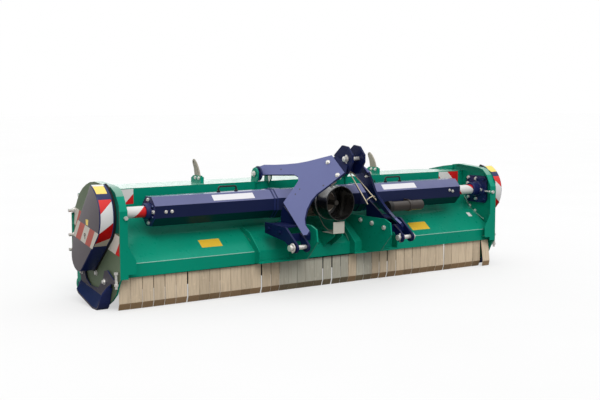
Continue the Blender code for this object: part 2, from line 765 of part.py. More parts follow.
def gearbox():
    """Housing with a round neck for the input shaft, bolted to the beam through a foot at its back."""
    low_y, high_y, low_z, high_z = gearbox_corners()
    body = prism(cut_corners(low_y, high_y, low_z, high_z, 0.035), -GEARBOX_HALF, GEARBOX_HALF)
    neck = rod((0.0, SHAFT_Z), NECK_RADIUS, low_y - NECK_LENGTH, low_y + SINK, NECK_SIDES, "Y")
    foot = box((-0.060, 0.060), (high_y - SINK, BEAM_FRONT - GAP), (SHAFT_Z - 0.020, SHAFT_Z + 0.060))
    body = join(body, neck, foot)
    for x in (-0.096, 0.096):
        for z in (SHAFT_Z - 0.050, SHAFT_Z + 0.050):
            body = join(body, bolt((x, z), 0.009, low_y, -0.009))
    inner_y, outer_y, floor, roof = gearbox_corners(GEARBOX_WALL)
    side = GEARBOX_HALF - GEARBOX_WALL
    hollow = box((-side, side), (inner_y, outer_y), (floor, roof))
    input_bore = bore((0.0, SHAFT_Z), PTO_RADIUS, low_y - NECK_LENGTH - 0.01, inner_y + 0.01, axis="Y")
    cross_bore = bore((SHAFT_Y, SHAFT_Z), SHAFT_RADIUS, -GEARBOX_HALF - 0.01, GEARBOX_HALF + 0.01)
    return cut(body, hollow, input_bore, cross_bore)


def input_shaft():
    """Splined stub with its bevel wheel inside the gearbox."""
    spline = gear_outline(0.0, SHAFT_Z, PTO_RADIUS - 0.003, PTO_RADIUS, PTO_TEETH)
    neck_front = gearbox_corners()[0] - NECK_LENGTH
    nose = prism(spline, PTO_FRONT, neck_front - RUN, "Y")
    wheel_front = SHAFT_Y - PINION_RADIUS - RUN - GEAR_WIDTH
    stem = rod((0.0, SHAFT_Z), PTO_RADIUS, neck_front - RUN - SINK, wheel_front + SINK, 18, "Y")
    outline = gear_outline(0.0, SHAFT_Z, WHEEL_RADIUS - TOOTH, WHEEL_RADIUS, WHEEL_TEETH)
    wheel = prism(outline, wheel_front, wheel_front + GEAR_WIDTH, "Y")
    return join(nose, stem, wheel)


def pinion():
    """Bevel pinion on the cross shaft, beside the wheel's rim."""
    outline = gear_outline(SHAFT_Y, SHAFT_Z, PINION_RADIUS - TOOTH, PINION_RADIUS, PINION_TEETH)
    return prism(outline, WHEEL_RADIUS - GEAR_WIDTH, WHEEL_RADIUS)


def pto_guard():
    """Black cone guard round the input shaft, open at the front."""
    back = gearbox_corners()[0] - GAP
    inner = NECK_RADIUS + GAP
    hub = inner + 0.022
    mouth = GUARD_FRONT
    profile = [
        (back, inner), (back, hub), (back - 0.020, hub), (back - 0.050, GUARD_RADIUS - 0.008),
        (mouth + 0.012, GUARD_RADIUS - 0.004), (mouth + 0.010, GUARD_RADIUS), (mouth, GUARD_RADIUS),
        (mouth, GUARD_RADIUS - 0.012), (back - 0.046, GUARD_RADIUS - 0.014), (back - 0.022, hub - 0.006),
        (back - 0.022, inner),
    ]
    return turned(profile, (0.0, SHAFT_Z), NECK_SIDES, "Y")


def guard_bracket():
    """Zinc angle under the guard, seated on the deck's fins."""
    across = (-BRACKET_HALF, BRACKET_HALF)
    back = BRACKET_FACE + BRACKET_SHEET
    face = box(across, (BRACKET_FACE, back), (BRACKET_SHELF, BRACKET_TOP))
    shelf = box(across, (BRACKET_FACE, -0.010), (BRACKET_SHELF, BRACKET_SHELF + BRACKET_SHEET))
    return join(face, shelf)


# Rotor

def rotor():
    """Drum with stub shafts, belt pulleys and four rows of hammer lugs."""
    right = [(DRUM_HALF, DRUM_RADIUS), (DRUM_HALF, ROTOR_SHAFT)] + shaft_end(ROTOR_SHAFT, LOWER_PULLEY)
    left = [(-x, radius) for x, radius in reversed(right)]
    body = turned(left + right, (ROTOR_Y, ROTOR_Z), SHAFT_SIDES, closed=False)
    for row, angle in enumerate(ROW_ANGLES):
        for x in lug_places(row):
            body = join(body, lug(angle, x))
    for row, angle in enumerate(ROW_ANGLES):
        start = lug_places(row)[0] - 0.02
        end = lug_places(row)[-1] + 0.02
        body = cut(body, bore(pin_centre(angle), HAMMER_PIN_RADIUS, start, end, PIN_SIDES, "X", 22.5))
    return body


def pin_centre(angle):
    turn = math.radians(angle)
    return ROTOR_Y + HAMMER_PIN_CIRCLE * math.cos(turn), ROTOR_Z + HAMMER_PIN_CIRCLE * math.sin(turn)


def hammer_places(row):
    """Middles of a row's hammers; neighbouring rows are staggered."""
    pitch = 2.0 * (DRUM_HALF - 0.10) / HAMMERS_PER_ROW
    shift = (row % 2 - 0.5) * pitch / 2.0
    return [(i - (HAMMERS_PER_ROW - 1) / 2.0) * pitch + shift for i in range(HAMMERS_PER_ROW)]


def lug_places(row):
    """Start of each lug: one beside every hammer, and one past the last."""
    hammers = hammer_places(row)
    reach = HAMMER_FACE / 2.0 + RUN
    return [x - reach - LUG_SHEET for x in hammers] + [hammers[-1] + reach]


def lug(angle, x):
    """Plate welded on the drum, with a round head about the hammer pin."""
    head = arc(HAMMER_PIN_CIRCLE, 0.0, LUG_RADIUS, -90.0, 90.0, 4)
    root = DRUM_RADIUS - 0.010
    outline = head + [(root, LUG_RADIUS + 0.008), (root, -LUG_RADIUS - 0.008)]
    turn = math.radians(angle)
    placed = []
    for u, v in outline:
        y = ROTOR_Y + u * math.cos(turn) - v * math.sin(turn)
        z = ROTOR_Z + u * math.sin(turn) + v * math.cos(turn)
        placed.append((y, z))
    return prism(placed, x, x + LUG_SHEET)


def hammer_hang(angle):
    """Direction in which a row's hammers rest: straight down, or against the drum when above it."""
    clear = HAMMER_WIDTH / 2.0 + DRUM_RADIUS + 0.003
    stop = 180.0 - math.degrees(math.asin(clear / HAMMER_PIN_CIRCLE))
    down = (-90.0 - angle + 180.0) % 360.0 - 180.0
    return angle + max(-stop, min(stop, down))


def hammer_row(row):
    """One row's hammers on their common pin."""
    angle = ROW_ANGLES[row]
    y, z = pin_centre(angle)
    places = lug_places(row)
    ends = (places[0] - PIN_END, places[-1] + LUG_SHEET + PIN_END)
    solid = rod((y, z), HAMMER_PIN_RADIUS, ends[0], ends[1], PIN_SIDES, "X", 22.5)
    turn = math.radians(hammer_hang(angle))
    half = HAMMER_WIDTH / 2.0
    back = -0.014
    tip = HAMMER_REACH
    flat = [(back, -half), (tip - 0.016, -half), (tip, -0.008), (tip, half), (back, half)]
    outline = []
    for u, v in flat:
        along = y + u * math.cos(turn) - v * math.sin(turn)
        up = z + u * math.sin(turn) + v * math.cos(turn)
        outline.append((along, up))
    for x in hammer_places(row):
        solid = join(solid, prism(outline, x - HAMMER_FACE / 2.0, x + HAMMER_FACE / 2.0))
    return solid


# Belt covers

def cover_outline(inset=0.0):
    y, z, radius = COVER_ARC
    tip_y, tip_z, tip_radius = COVER_TIP
    rear = Vector(COVER_REAR_CORNER) - Vector((0.75, 0.25)) * inset
    front = arc(y, z, radius - inset, COVER_ARC_ANGLES[0] + inset * 300.0, COVER_ARC_ANGLES[1], 14)
    tip = arc(tip_y, tip_z, tip_radius - inset, COVER_TIP_ANGLES[0], COVER_TIP_ANGLES[1], 10)
    return front + tip + [tuple(rear)]


def belt_cover():
    base = END_INNER + END_SHEET + GAP + SEAL_DEPTH + GAP
    shell = prism(cover_outline(), base, COVER_FACE)
    return cut(shell, prism(cover_outline(COVER_WALL), base - 0.01, COVER_FACE - COVER_WALL))


def cover_seal():
    base = END_INNER + END_SHEET + GAP
    band = prism(cover_outline(-0.004), base, base + SEAL_DEPTH)
    return cut(band, prism(cover_outline(COVER_WALL + 0.006), base - 0.01, base + SEAL_DEPTH + 0.01))


# Skids

def skid_stations():
    """Sole as (y, z, fold height, share of the width): raised rear, flat middle, upturned front."""
    rear = [(0.494, 0.112, 0.020, 0.12), (0.456, 0.098, 0.022, 0.50), (0.422, 0.086, 0.030, 1.0)]
    rear += [(0.400, 0.069, 0.042, 1.0), (0.300, 0.040, 0.056, 1.0)]
    flat = [(0.190, GROUND, 0.070, 1.0), (0.128, GROUND, 0.080, 1.0)]
    front = [(0.108, 0.026, 0.080, 1.0), (0.092, 0.062, 0.064, 0.95), (0.078, 0.104, 0.040, 0.75)]
    return rear + flat + front + [(0.060, 0.138, 0.024, 0.4)]


def skid():
    """Side plate with a deep notch, a sloping wear flange and a sole turned in beside the end plate."""
    outer = END_INNER + END_SHEET
    inner = outer + SKID_STAND_OFF
    face = inner + SKID_SHEET
    sole_inner = outer + SOLE_CLEARANCE
    builder = bmesh.new()
    loops = []
    for y, ground, fold, share in skid_stations():
        lift = ground + fold
        edge = face + 0.002 + (SKID_OUTER - face) * share
        section = [
            (inner, lift + 0.016), (face, lift + 0.016), (face, lift + 0.004), (edge, ground + 0.012),
            (edge, ground), (sole_inner, ground), (sole_inner, ground + SKID_SHEET),
            (max(edge - 0.012, face), ground + SKID_SHEET), (inner, lift - 0.006),
        ]
        loops.append([builder.verts.new((x, y, z)) for x, z in section])
    for one, two in zip(loops, loops[1:]):
        count = len(one)
        for i in range(count):
            k = (i + 1) % count
            builder.faces.new((one[i], one[k], two[k], two[i]))
    builder.faces.new(loops[0])
    builder.faces.new(loops[-1])
    sole = as_object(builder)
    outline = [
        (0.512, 0.188), (0.516, 0.236), (0.446, 0.238), (0.434, 0.201), (0.413, 0.154), (0.353, 0.120),
        (0.242, 0.119), (0.196, 0.155), (0.158, 0.197), (0.141, 0.238), (0.100, 0.246), (0.045, 0.217),
        (0.004, 0.197), (-0.030, 0.197), (-0.030, 0.178), (0.030, 0.172),
    ]
    outline += [(y, ground + fold + 0.010) for y, ground, fold, share in reversed(skid_stations())]
    solid = join(sole, prism(outline, inner, face))
    for y, z in ((0.472, 0.190), (0.142, 0.172)):
        spacer = rod((y, z), 0.014, outer + GAP, inner + SINK, 12)
        solid = join(solid, spacer, bolt((y, z), 0.012, face, 0.014, "X"))
    stud = (outer + 0.015, -0.020)
    solid = join(solid, rod(stud, 0.008, 0.150, 0.245, 12, "Z"))
    for low, high in ((0.166, 0.180), (0.235, 0.250)):
        solid = join(solid, rod(stud, 0.0135, low, high, 6, "Z"))
    return solid


# Front flaps

def flap_rod():
    return rod((FLAP_ROD_Y, FLAP_ROD_Z), FLAP_ROD_RADIUS, -(END_INNER - GAP), END_INNER - GAP, 12)


def flap_group(low, high, count):
    """Neighbouring flaps on one eye tube, split by narrow slots below it."""
    start, end = low * HALF_WIDTH + FLAP_SLOT, high * HALF_WIDTH - FLAP_SLOT
    pitch = (end - start) / count
    eye = FLAP_ROD_RADIUS + RUN + FLAP_EYE_WALL
    front = FLAP_ROD_Y - FLAP_SHEET / 2.0
    top = FLAP_ROD_Z - eye + SINK
    path = [(front + FLAP_KICK, FLAP_BOTTOM), (front, FLAP_BOTTOM + FLAP_FOOT), (front, top)]
    group = join(rod((FLAP_ROD_Y, FLAP_ROD_Z), eye, start, end, 16), prism(sheet(path, FLAP_SHEET), start, end))
    for i in range(1, count):
        x = start + i * pitch
        across = (x - FLAP_SLOT / 2.0, x + FLAP_SLOT / 2.0)
        group = cut(group, box(across, (front - 0.02, front + 0.05), (FLAP_BOTTOM - 0.01, top - 0.008)))
    return cut(group, bore((FLAP_ROD_Y, FLAP_ROD_Z), FLAP_ROD_RADIUS, start - 0.01, end + 0.01, 16))


# Rear hood, horns and roller

def hood_rod():
    return rod((HOOD_Y, HOOD_Z), HOOD_ROD, -(END_INNER - GAP), END_INNER - GAP, 16)


def hood():
    """Curved rear sheet with side cheeks, hanging from an eye tube."""
    eye = HOOD_ROD + RUN + HOOD_EYE_WALL
    barrel = rod((HOOD_Y, HOOD_Z), eye, -HOOD_HALF, HOOD_HALF, 20)
    path = [(HOOD_Y + 0.010, HOOD_Z + 0.012)] + list(HOOD_PATH)
    solid = join(barrel, prism(sheet(path, HOOD_SHEET), -HOOD_HALF, HOOD_HALF))
    cheek = [(HOOD_Y + 0.012, HOOD_Z - 0.004)]
    cheek += [(y - 0.004, z) for y, z in HOOD_PATH]
    cheek += [(0.640, 0.230), (0.625, 0.420), (0.606, 0.590)]
    for end in (-HOOD_HALF, HOOD_HALF - CHEEK_SHEET):
        solid = join(solid, prism(cheek, end, end + CHEEK_SHEET))
    return cut(solid, bore((HOOD_Y, HOOD_Z), HOOD_ROD, -HOOD_HALF - 0.01, HOOD_HALF + 0.01))


def horn():
    """Curved steel horn on the beam with a hole near its tip and two bolts through its foot."""
    outline = [
        (0.385, BEAM_TOP + GAP), (0.398, 0.752), (0.408, 0.782), (0.424, 0.811), (0.446, 0.838), (0.470, 0.856),
        (0.481, 0.859), (0.493, 0.846), (0.490, 0.832), (0.474, 0.800), (0.467, 0.765), (0.461, 0.735),
        (0.455, BEAM_TOP + GAP),
    ]
    half = HORN_SHEET / 2.0
    solid = prism(outline, HORN_X - half, HORN_X + half)
    return cut(solid, rod((0.477, 0.837), 0.007, HORN_X - 0.02, HORN_X + 0.02, 12))


def roller_height():
    return GROUND + ROLLER_RADIUS * math.cos(math.pi / ROLLER_SIDES)


def roller():
    centre = (ROLLER_Y, roller_height())
    drum = rod(centre, ROLLER_RADIUS, -ROLLER_HALF, ROLLER_HALF, ROLLER_SIDES, "X", 180.0 / ROLLER_SIDES)
    reach = END_INNER - GAP - SINK
    return join(drum, rod(centre, JOURNAL_RADIUS, -reach, reach, 16))


def roller_arm():
    """Bolted side arm that carries the roller's journal inside the end plate."""
    outside = END_INNER - GAP
    inside = outside - ARM_SHEET
    centre = (ROLLER_Y, roller_height())
    outline = arc(*centre, 0.040, -110.0, 60.0, 8)
    outline += [(0.630, 0.250), (0.600, 0.330), (0.550, 0.340), (0.535, 0.300), (0.550, 0.200)]
    plate = prism(outline, inside, outside)
    for place_on_arm in ((0.570, 0.305), (0.590, 0.240)):
        plate = join(plate, bolt(place_on_arm, 0.011, inside, -0.008, "X"))
    return cut(plate, bore(centre, JOURNAL_RADIUS, inside - 0.01, outside + 0.01, 16))


# Three-point headstock

def head_directions():
    normal = (HEAD_TOP - HEAD_REAR).cross(HEAD_LOW - HEAD_REAR).normalized()
    along = normal.cross(Vector((0.0, 0.0, 1.0))).normalized()
    if along.y > 0.0:
        along = -along
    up = along.cross(normal).normalized()
    if up.z < 0.0:
        up = -up
    return along, up, normal


def headstock():
    """Left side plate: rear arm to the beam, upper corner at the top link, lower leg to the clevis."""
    along, up, normal = head_directions()
    outline = [
        (-0.554, 0.428), (-0.577, 0.458), (-0.568, 0.486), (-0.530, 0.503), (-0.440, 0.507), (-0.352, 0.515),
        (-0.260, 0.528), (-0.186, 0.546), (-0.018, 0.601), (0.134, 0.474), (0.055, 0.376), (-0.008, 0.307),
        (-0.030, 0.255), (-0.035, 0.190), (-0.022, 0.122), (0.005, 0.076), (0.050, 0.040), (0.046, 0.012),
        (0.020, 0.004), (-0.239, 0.225), (-0.200, 0.370), (-0.196, 0.396), (-0.212, 0.425), (-0.251, 0.439),
        (-0.520, 0.424),
    ]
    plate = in_plane(outline, HEAD_LOW, along, up, HEAD_SHEET)
    return cut(plate, bore(ARM_PIN, ARM_PIN_RADIUS, -0.40, -0.20, 16))


def top_clevis():
    """Two ears on a bridge block between the side plates."""
    outline = [
        (-0.146, 0.891), (-0.232, 0.957), (-0.290, 0.950), (-0.339, 0.899), (-0.339, 0.851), (-0.288, 0.775),
        (-0.215, 0.770),
    ]
    half = TOP_GAP / 2.0
    left = prism(outline, -half - EAR_SHEET, -half)
    right = prism(outline, half, half + EAR_SHEET)
    bridge = box((-half - SINK, half + SINK), (-0.222, -0.206), (0.772, 0.870))
    flange = head_flange()
    solid = join(left, right, bridge, mirrored(flange), flange)
    return cut(solid, bore((TOP_Y, TOP_Z), TOP_PIN_RADIUS, -0.2, 0.2))


def head_flange():
    """Flange on the left ear that lies along the inside of the headstock's left side plate."""
    along, up, normal = head_directions()
    middle = TOP_GAP / 2.0 + 0.75 * EAR_SHEET
    top = []
    for u in (0.020, 0.120):
        v = (-middle - HEAD_LOW.x - u * along.x) / up.x
        top.append((u, v))
    outline = [(-0.060, 0.530), (-0.010, 0.596)] + top + [(0.130, 0.480), (0.095, 0.430)]
    outward = along.cross(up).normalized()
    return in_plane(outline, HEAD_LOW - outward * (GAP + FLANGE_SHEET), along, up, FLANGE_SHEET)


def link_pin(y, z, radius, start, end):
    """Plain pin with a collar head and a spring clip at the far end."""
    pin = rod((y, z), radius, start - SINK, end, 20)
    head = rod((y, z), radius * 1.6, start - 0.010, start, 20)
    wide = radius * 1.5
    tall = radius * 1.9
    clip = box((end - 0.016, end - 0.010), (y - wide, y + wide), (z - tall, z + tall))
    return join(pin, head, clip)


def lower_clevis():
    """Right lower clevis: two ears, and the web and bolted shelf that tie them to the deck bracket."""
    half = CLEVIS_GAP / 2.0
    outside = HITCH_HALF + half
    nose = arc(HITCH_Y, HITCH_Z, 0.034, 150.0, 340.0, 10)
    shelf_top = SHELF_Z + SHELF_SHEET
    inner = nose + [(-0.228, 0.392), (-0.228, 0.420), (-0.240, 0.420), (-0.296, 0.386)]
    outer = nose + [(-0.195, 0.368), (0.030, 0.398), (0.030, shelf_top + 0.006), (-0.205, shelf_top - 0.004)]
    solid = join(
        prism(inner, HITCH_HALF - half - EAR_SHEET, HITCH_HALF - half),
        prism(outer, outside, outside + EAR_SHEET),
        box((SIDE_BRACKET[1] + GAP, outside + SINK), (-0.242, -0.230), (0.370, 0.418)),
        box((GUSSET_X, outside + SINK), (-0.195, 0.020), (SHELF_Z, shelf_top)),
    )
    low = SHELF_Z + SINK
    gusset = [(0.018, low), (0.018, 0.520), (-0.010, 0.566), (-0.110, 0.505), (-0.193, low)]
    solid = join(solid, prism(gusset, GUSSET_X - SINK, GUSSET_X + 0.010))
    for place_on_plate in ((-0.145, 0.420), (-0.020, 0.430)):
        solid = join(solid, bolt(place_on_plate, 0.012, outside + EAR_SHEET, 0.012, "X"))
    return cut(solid, bore((HITCH_Y, HITCH_Z), LOWER_PIN_RADIUS, 0.3, 0.55))


# Small fittings

def parking_rest():
    """Bent wire that holds the drive shaft when it is unhooked; it swings on its upper bar."""
    y, z = REST_TOP
    lean = math.radians(REST_LEAN)
    down, over = (-math.cos(lean), -math.sin(lean)), (-math.sin(lean), math.cos(lean))

    def place(along, lift):
        return y + down[0] * along + over[0] * lift, z + down[1] * along + over[1] * lift

    end = TOP_GAP / 2.0 - GAP
    foot = place(REST_LENGTH, 0.0)
    arch = []
    for i in range(9):
        turn = math.pi * i / 8.0
        along = REST_LENGTH - REST_ARCH[0] - (REST_ARCH[1] - REST_ARCH[0]) * math.sin(turn)
        arch.append((-REST_HALF * math.cos(turn), *place(along, REST_ARCH[2] * math.sin(turn))))
    solid = join(wire([(-end, y, z), (end, y, z)], REST_RADIUS + REST_BAR_EXTRA), wire(arch, REST_RADIUS * 0.9))
    for x in (-REST_HALF, REST_HALF):
        solid = join(solid, wire([(x, y, z), (x, *foot)], REST_RADIUS))
    return solid


def guard_cable():
    """Thin retaining cable from the guard's side to the zinc bracket."""
    start = Vector((-GUARD_RADIUS - 0.003, -0.045, SHAFT_Z - 0.015))
    end = Vector((-BRACKET_HALF - 0.0018, BRACKET_FACE + BRACKET_SHEET / 2.0, 0.415))
    points = []
    for i in range(13):
        share = i / 12.0
        here = start.lerp(end, share)
        here.z -= 0.055 * math.sin(math.pi * share)
        points.append(tuple(here))
    return wire(points, 0.002, 6)


def tool_tube():
    """Tube for papers, held under the casing by a strap and bracket."""
    end = TUBE_START + TUBE_LENGTH
    bore_radius = TUBE_RADIUS - TUBE_WALL
    strap = TUBE_RADIUS + STRAP_SHEET
    strap_start = TUBE_START + TUBE_STRAP[0]
    strap_end = TUBE_START + TUBE_STRAP[1]
    profile = [
        (end - TUBE_WALL, bore_radius), (TUBE_START, bore_radius), (TUBE_START, TUBE_RADIUS),
        (strap_start, TUBE_RADIUS), (strap_start, strap), (strap_end, strap), (strap_end, TUBE_RADIUS),
        (end, TUBE_RADIUS),
    ]
    body = turned(profile, (TUBE_Y, TUBE_Z), 20, closed=False)
    top = TUBE_Z + TUBE_RADIUS
    seat = SHAFT_Y - CASING_FLATS / 2.0 - GAP
    across = (strap_start + 0.003, strap_end - 0.003)
    return join(body, box(across, (TUBE_Y, seat), (top - SINK, top + 0.008)))


def tube_cap():
    mouth = TUBE_START - GAP
    face = mouth - CAP_WALL
    outer = TUBE_RADIUS + CAP_WALL + RUN
    inner = (TUBE_RADIUS + RUN) / math.cos(math.pi / 24.0)
    vent = 0.004
    end = mouth + 0.028
    profile = [(face, vent), (face, outer), (end, outer), (end, inner), (mouth, inner), (mouth, vent)]
    return turned(profile, (TUBE_Y, TUBE_Z), 24)


def handle():
    """Black lifting handle on top of a casing."""
    top = SHAFT_Z + CASING_FLATS / 2.0 + GAP
    half = HANDLE_SPAN / 2.0
    y = SHAFT_Y + 0.010
    crown = top + HANDLE_HEIGHT
    bend = 0.008
    left = HANDLE_AT - half
    right = HANDLE_AT + half
    points = [
        (left, y, top + 0.005), (left, y, crown - bend), (left + bend, y, crown),
        (right - bend, y, crown), (right, y, crown - bend), (right, y, top + 0.005),
    ]
    bar = wire(points, HANDLE_RADIUS)
    for x in (left, right):
        bar = join(bar, rod((x, y), 0.012, top, top + 0.010, 12, "Z"))
    return bar


def build():
    machine = Machine()
    green = green_paint()
    blue = blue_paint()
    zinc = zinc_plate()
    black = black_plastic()
    steel = bare_steel()
    flap_steel = material("flap_steel", FLAP_STEEL, 0.55, 0.6)
    rubber = material("rubber", BLACK, 0.80, 0.0)

    machine.add(deck(), "deck", green)
    machine.add(box_beam(), "box_beam", green)
    machine.add_pair(end_plate(), "end_plate", green)

    left_head = headstock()
    machine.add(mirrored(left_head), "headstock_right", blue)
    machine.add(left_head, "headstock_left", blue)
    machine.add(top_clevis(), "top_clevis", blue)
    reach = TOP_GAP / 2.0 + EAR_SHEET
    top_pin = link_pin(TOP_Y, TOP_Z, TOP_PIN_RADIUS, -reach - GAP, reach + PIN_TAIL)
    machine.add(top_pin, "top_link_pin", zinc)
    machine.add_pair(lower_clevis(), "lower_clevis", blue)
    reach = CLEVIS_GAP / 2.0 + EAR_SHEET
    ends = (HITCH_HALF - reach - GAP, HITCH_HALF + reach + PIN_TAIL)
    machine.add_pair(link_pin(HITCH_Y, HITCH_Z, LOWER_PIN_RADIUS, *ends), "lower_link_pin", zinc)

    machine.add_pair(casing(), "shaft_casing", blue)
    machine.add_pair(handle(), "casing_handle", black)
    machine.add_pair(shaft_sleeve(), "shaft_sleeve", material("sleeve_white", WHITE, 0.40, 0.0), smooth=40)
    machine.add_pair(bearing_plate(), "bearing_plate", blue)
    machine.add_pair(tensioner(), "belt_tensioner", zinc)
    machine.add(gearbox(), "gearbox", blue)
    machine.add(input_shaft(), "input_shaft", steel, (0.0, 0.0, SHAFT_Z))
    machine.add(pto_guard(), "pto_guard", black, smooth=40)
    machine.add(guard_bracket(), "guard_bracket", zinc)
    machine.add(guard_cable(), "guard_cable", steel)

    shaft_axis = (0.0, SHAFT_Y, SHAFT_Z)
    machine.add(join(cross_shaft(SHAFT_SPLIT), pinion()), "cross_shaft_right", steel, shaft_axis)
    machine.add(mirrored(cross_shaft(GAP - SHAFT_SPLIT), keep=False), "cross_shaft_left", steel, shaft_axis)
    machine.add_pair(belt(), "drive_belt", rubber)
    machine.add_pair(belt_cover(), "belt_cover", blue)
    machine.add_pair(cover_seal(), "cover_seal", rubber)

    machine.add(rotor(), "rotor", steel, (0.0, ROTOR_Y, ROTOR_Z))
    for row, angle in enumerate(ROW_ANGLES):
        y, z = pin_centre(angle)
        machine.add(hammer_row(row), f"hammer_row_{row + 1}", steel, (0.0, y, z))

    machine.add_pair(skid(), "skid", blue)
    machine.add(flap_rod(), "flap_rod", zinc)
    for index, count in enumerate(FLAP_GROUPS):
        group = flap_group(FLAP_BREAKS[index], FLAP_BREAKS[index + 1], count)
        machine.add(group, f"flap_group_{index + 1}", flap_steel, (0.0, FLAP_ROD_Y, FLAP_ROD_Z))

    machine.add(hood_rod(), "hood_rod", zinc)
    machine.add(hood(), "rear_hood", green, (0.0, HOOD_Y, HOOD_Z))
    machine.add_pair(horn(), "hood_horn", steel)
    machine.add(roller(), "rear_roller", blue, (0.0, ROLLER_Y, roller_height()))
    machine.add_pair(roller_arm(), "roller_arm", green)
    machine.add(parking_rest(), "parking_rest", zinc, (0.0, *REST_TOP))
    machine.add(tool_tube(), "tool_tube", black, smooth=40)
    machine.add(tube_cap(), "tube_cap", black, (0.0, TUBE_Y, TUBE_Z), smooth=40)
    machine.centre()


for old in list(bpy.data.objects):
    bpy.data.objects.remove(old)
build()
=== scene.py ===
"""Tractor flail mower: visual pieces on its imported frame.

Lengths are metres. Pieces are modelled with Y = 0 on the apron lip's front face and moved
by SHIFT into the frame's own place when they are made.
"""
import json
import random
from math import atan2, cos, pi, radians, sin, sqrt

import bmesh
import bpy
from mathutils import Matrix, Vector

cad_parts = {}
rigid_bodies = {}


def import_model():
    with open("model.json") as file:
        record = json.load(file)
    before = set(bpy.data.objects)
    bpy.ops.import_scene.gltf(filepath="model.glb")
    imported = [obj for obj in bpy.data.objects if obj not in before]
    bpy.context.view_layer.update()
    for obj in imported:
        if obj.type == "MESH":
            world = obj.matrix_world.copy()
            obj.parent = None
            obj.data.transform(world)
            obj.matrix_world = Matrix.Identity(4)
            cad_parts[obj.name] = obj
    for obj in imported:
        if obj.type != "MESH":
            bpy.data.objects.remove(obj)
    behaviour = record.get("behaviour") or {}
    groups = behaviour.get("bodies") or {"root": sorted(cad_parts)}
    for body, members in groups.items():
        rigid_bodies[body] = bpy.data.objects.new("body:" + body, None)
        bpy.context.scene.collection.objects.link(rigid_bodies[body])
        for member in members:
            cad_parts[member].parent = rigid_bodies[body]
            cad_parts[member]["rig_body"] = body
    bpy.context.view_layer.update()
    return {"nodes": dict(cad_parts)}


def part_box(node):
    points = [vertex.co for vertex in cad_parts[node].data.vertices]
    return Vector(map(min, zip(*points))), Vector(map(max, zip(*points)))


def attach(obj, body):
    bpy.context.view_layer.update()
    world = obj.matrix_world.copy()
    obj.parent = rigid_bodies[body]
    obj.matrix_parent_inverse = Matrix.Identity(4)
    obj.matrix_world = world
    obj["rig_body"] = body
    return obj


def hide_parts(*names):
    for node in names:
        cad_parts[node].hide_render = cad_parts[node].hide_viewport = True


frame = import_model()
nodes = frame["nodes"]
scene = bpy.context.scene
chance = random.Random(11)
SHIFT = Vector((0.0, -0.10611553490161896, -0.009))
X_AXIS = Vector((1.0, 0.0, 0.0))
Y_AXIS = Vector((0.0, 1.0, 0.0))
Z_AXIS = Vector((0.0, 0.0, 1.0))
MIRROR = Vector((-1.0, 1.0, 1.0))

SHAFT_Y, SHAFT_Z = 0.135, 0.575  # middle line of the casings and the striped sleeves
CASING_HALF = 0.09  # from that line to a flat of the eight-sided casings
CASING_END = 1.2402  # where the bolts sit on the casings' outer ends
PLATE_SIDE = -1.5152  # just off the outer face of the left end plate
ARM_PIN = Vector((0.3, 0.757))  # Y and Z of the headstock arms' rear pins
HOOD_Y, HOOD_Z = 0.6, 0.65  # line of the rear hood's rod
BEAM_TOP = 0.704


def add_object(name, data):
    """A new object in the scene."""
    made = bpy.data.objects.new(name, data)
    scene.collection.objects.link(made)
    return made


# Camera

YAW, PITCH = 0.60523, 0.09892
CAMERA_PLACE = Vector((-4.04614, -5.53272, 1.26467))
camera_data = bpy.data.cameras.new("camera")
camera_data.sensor_width = 36.0
camera_data.lens = 62.4
camera = add_object("camera", camera_data)
level = cos(PITCH)
looking = Vector((sin(YAW) * level, cos(YAW) * level, -sin(PITCH)))
camera.location = CAMERA_PLACE + SHIFT
camera.rotation_mode = "QUATERNION"
camera.rotation_quaternion = looking.to_track_quat("-Z", "Y")
scene.camera = camera
scene.view_settings.view_transform = "Standard"


# Materials

def fill(node, values):
    """Sets a node's inputs by their names."""
    for key, value in values.items():
        node.inputs[key].default_value = value


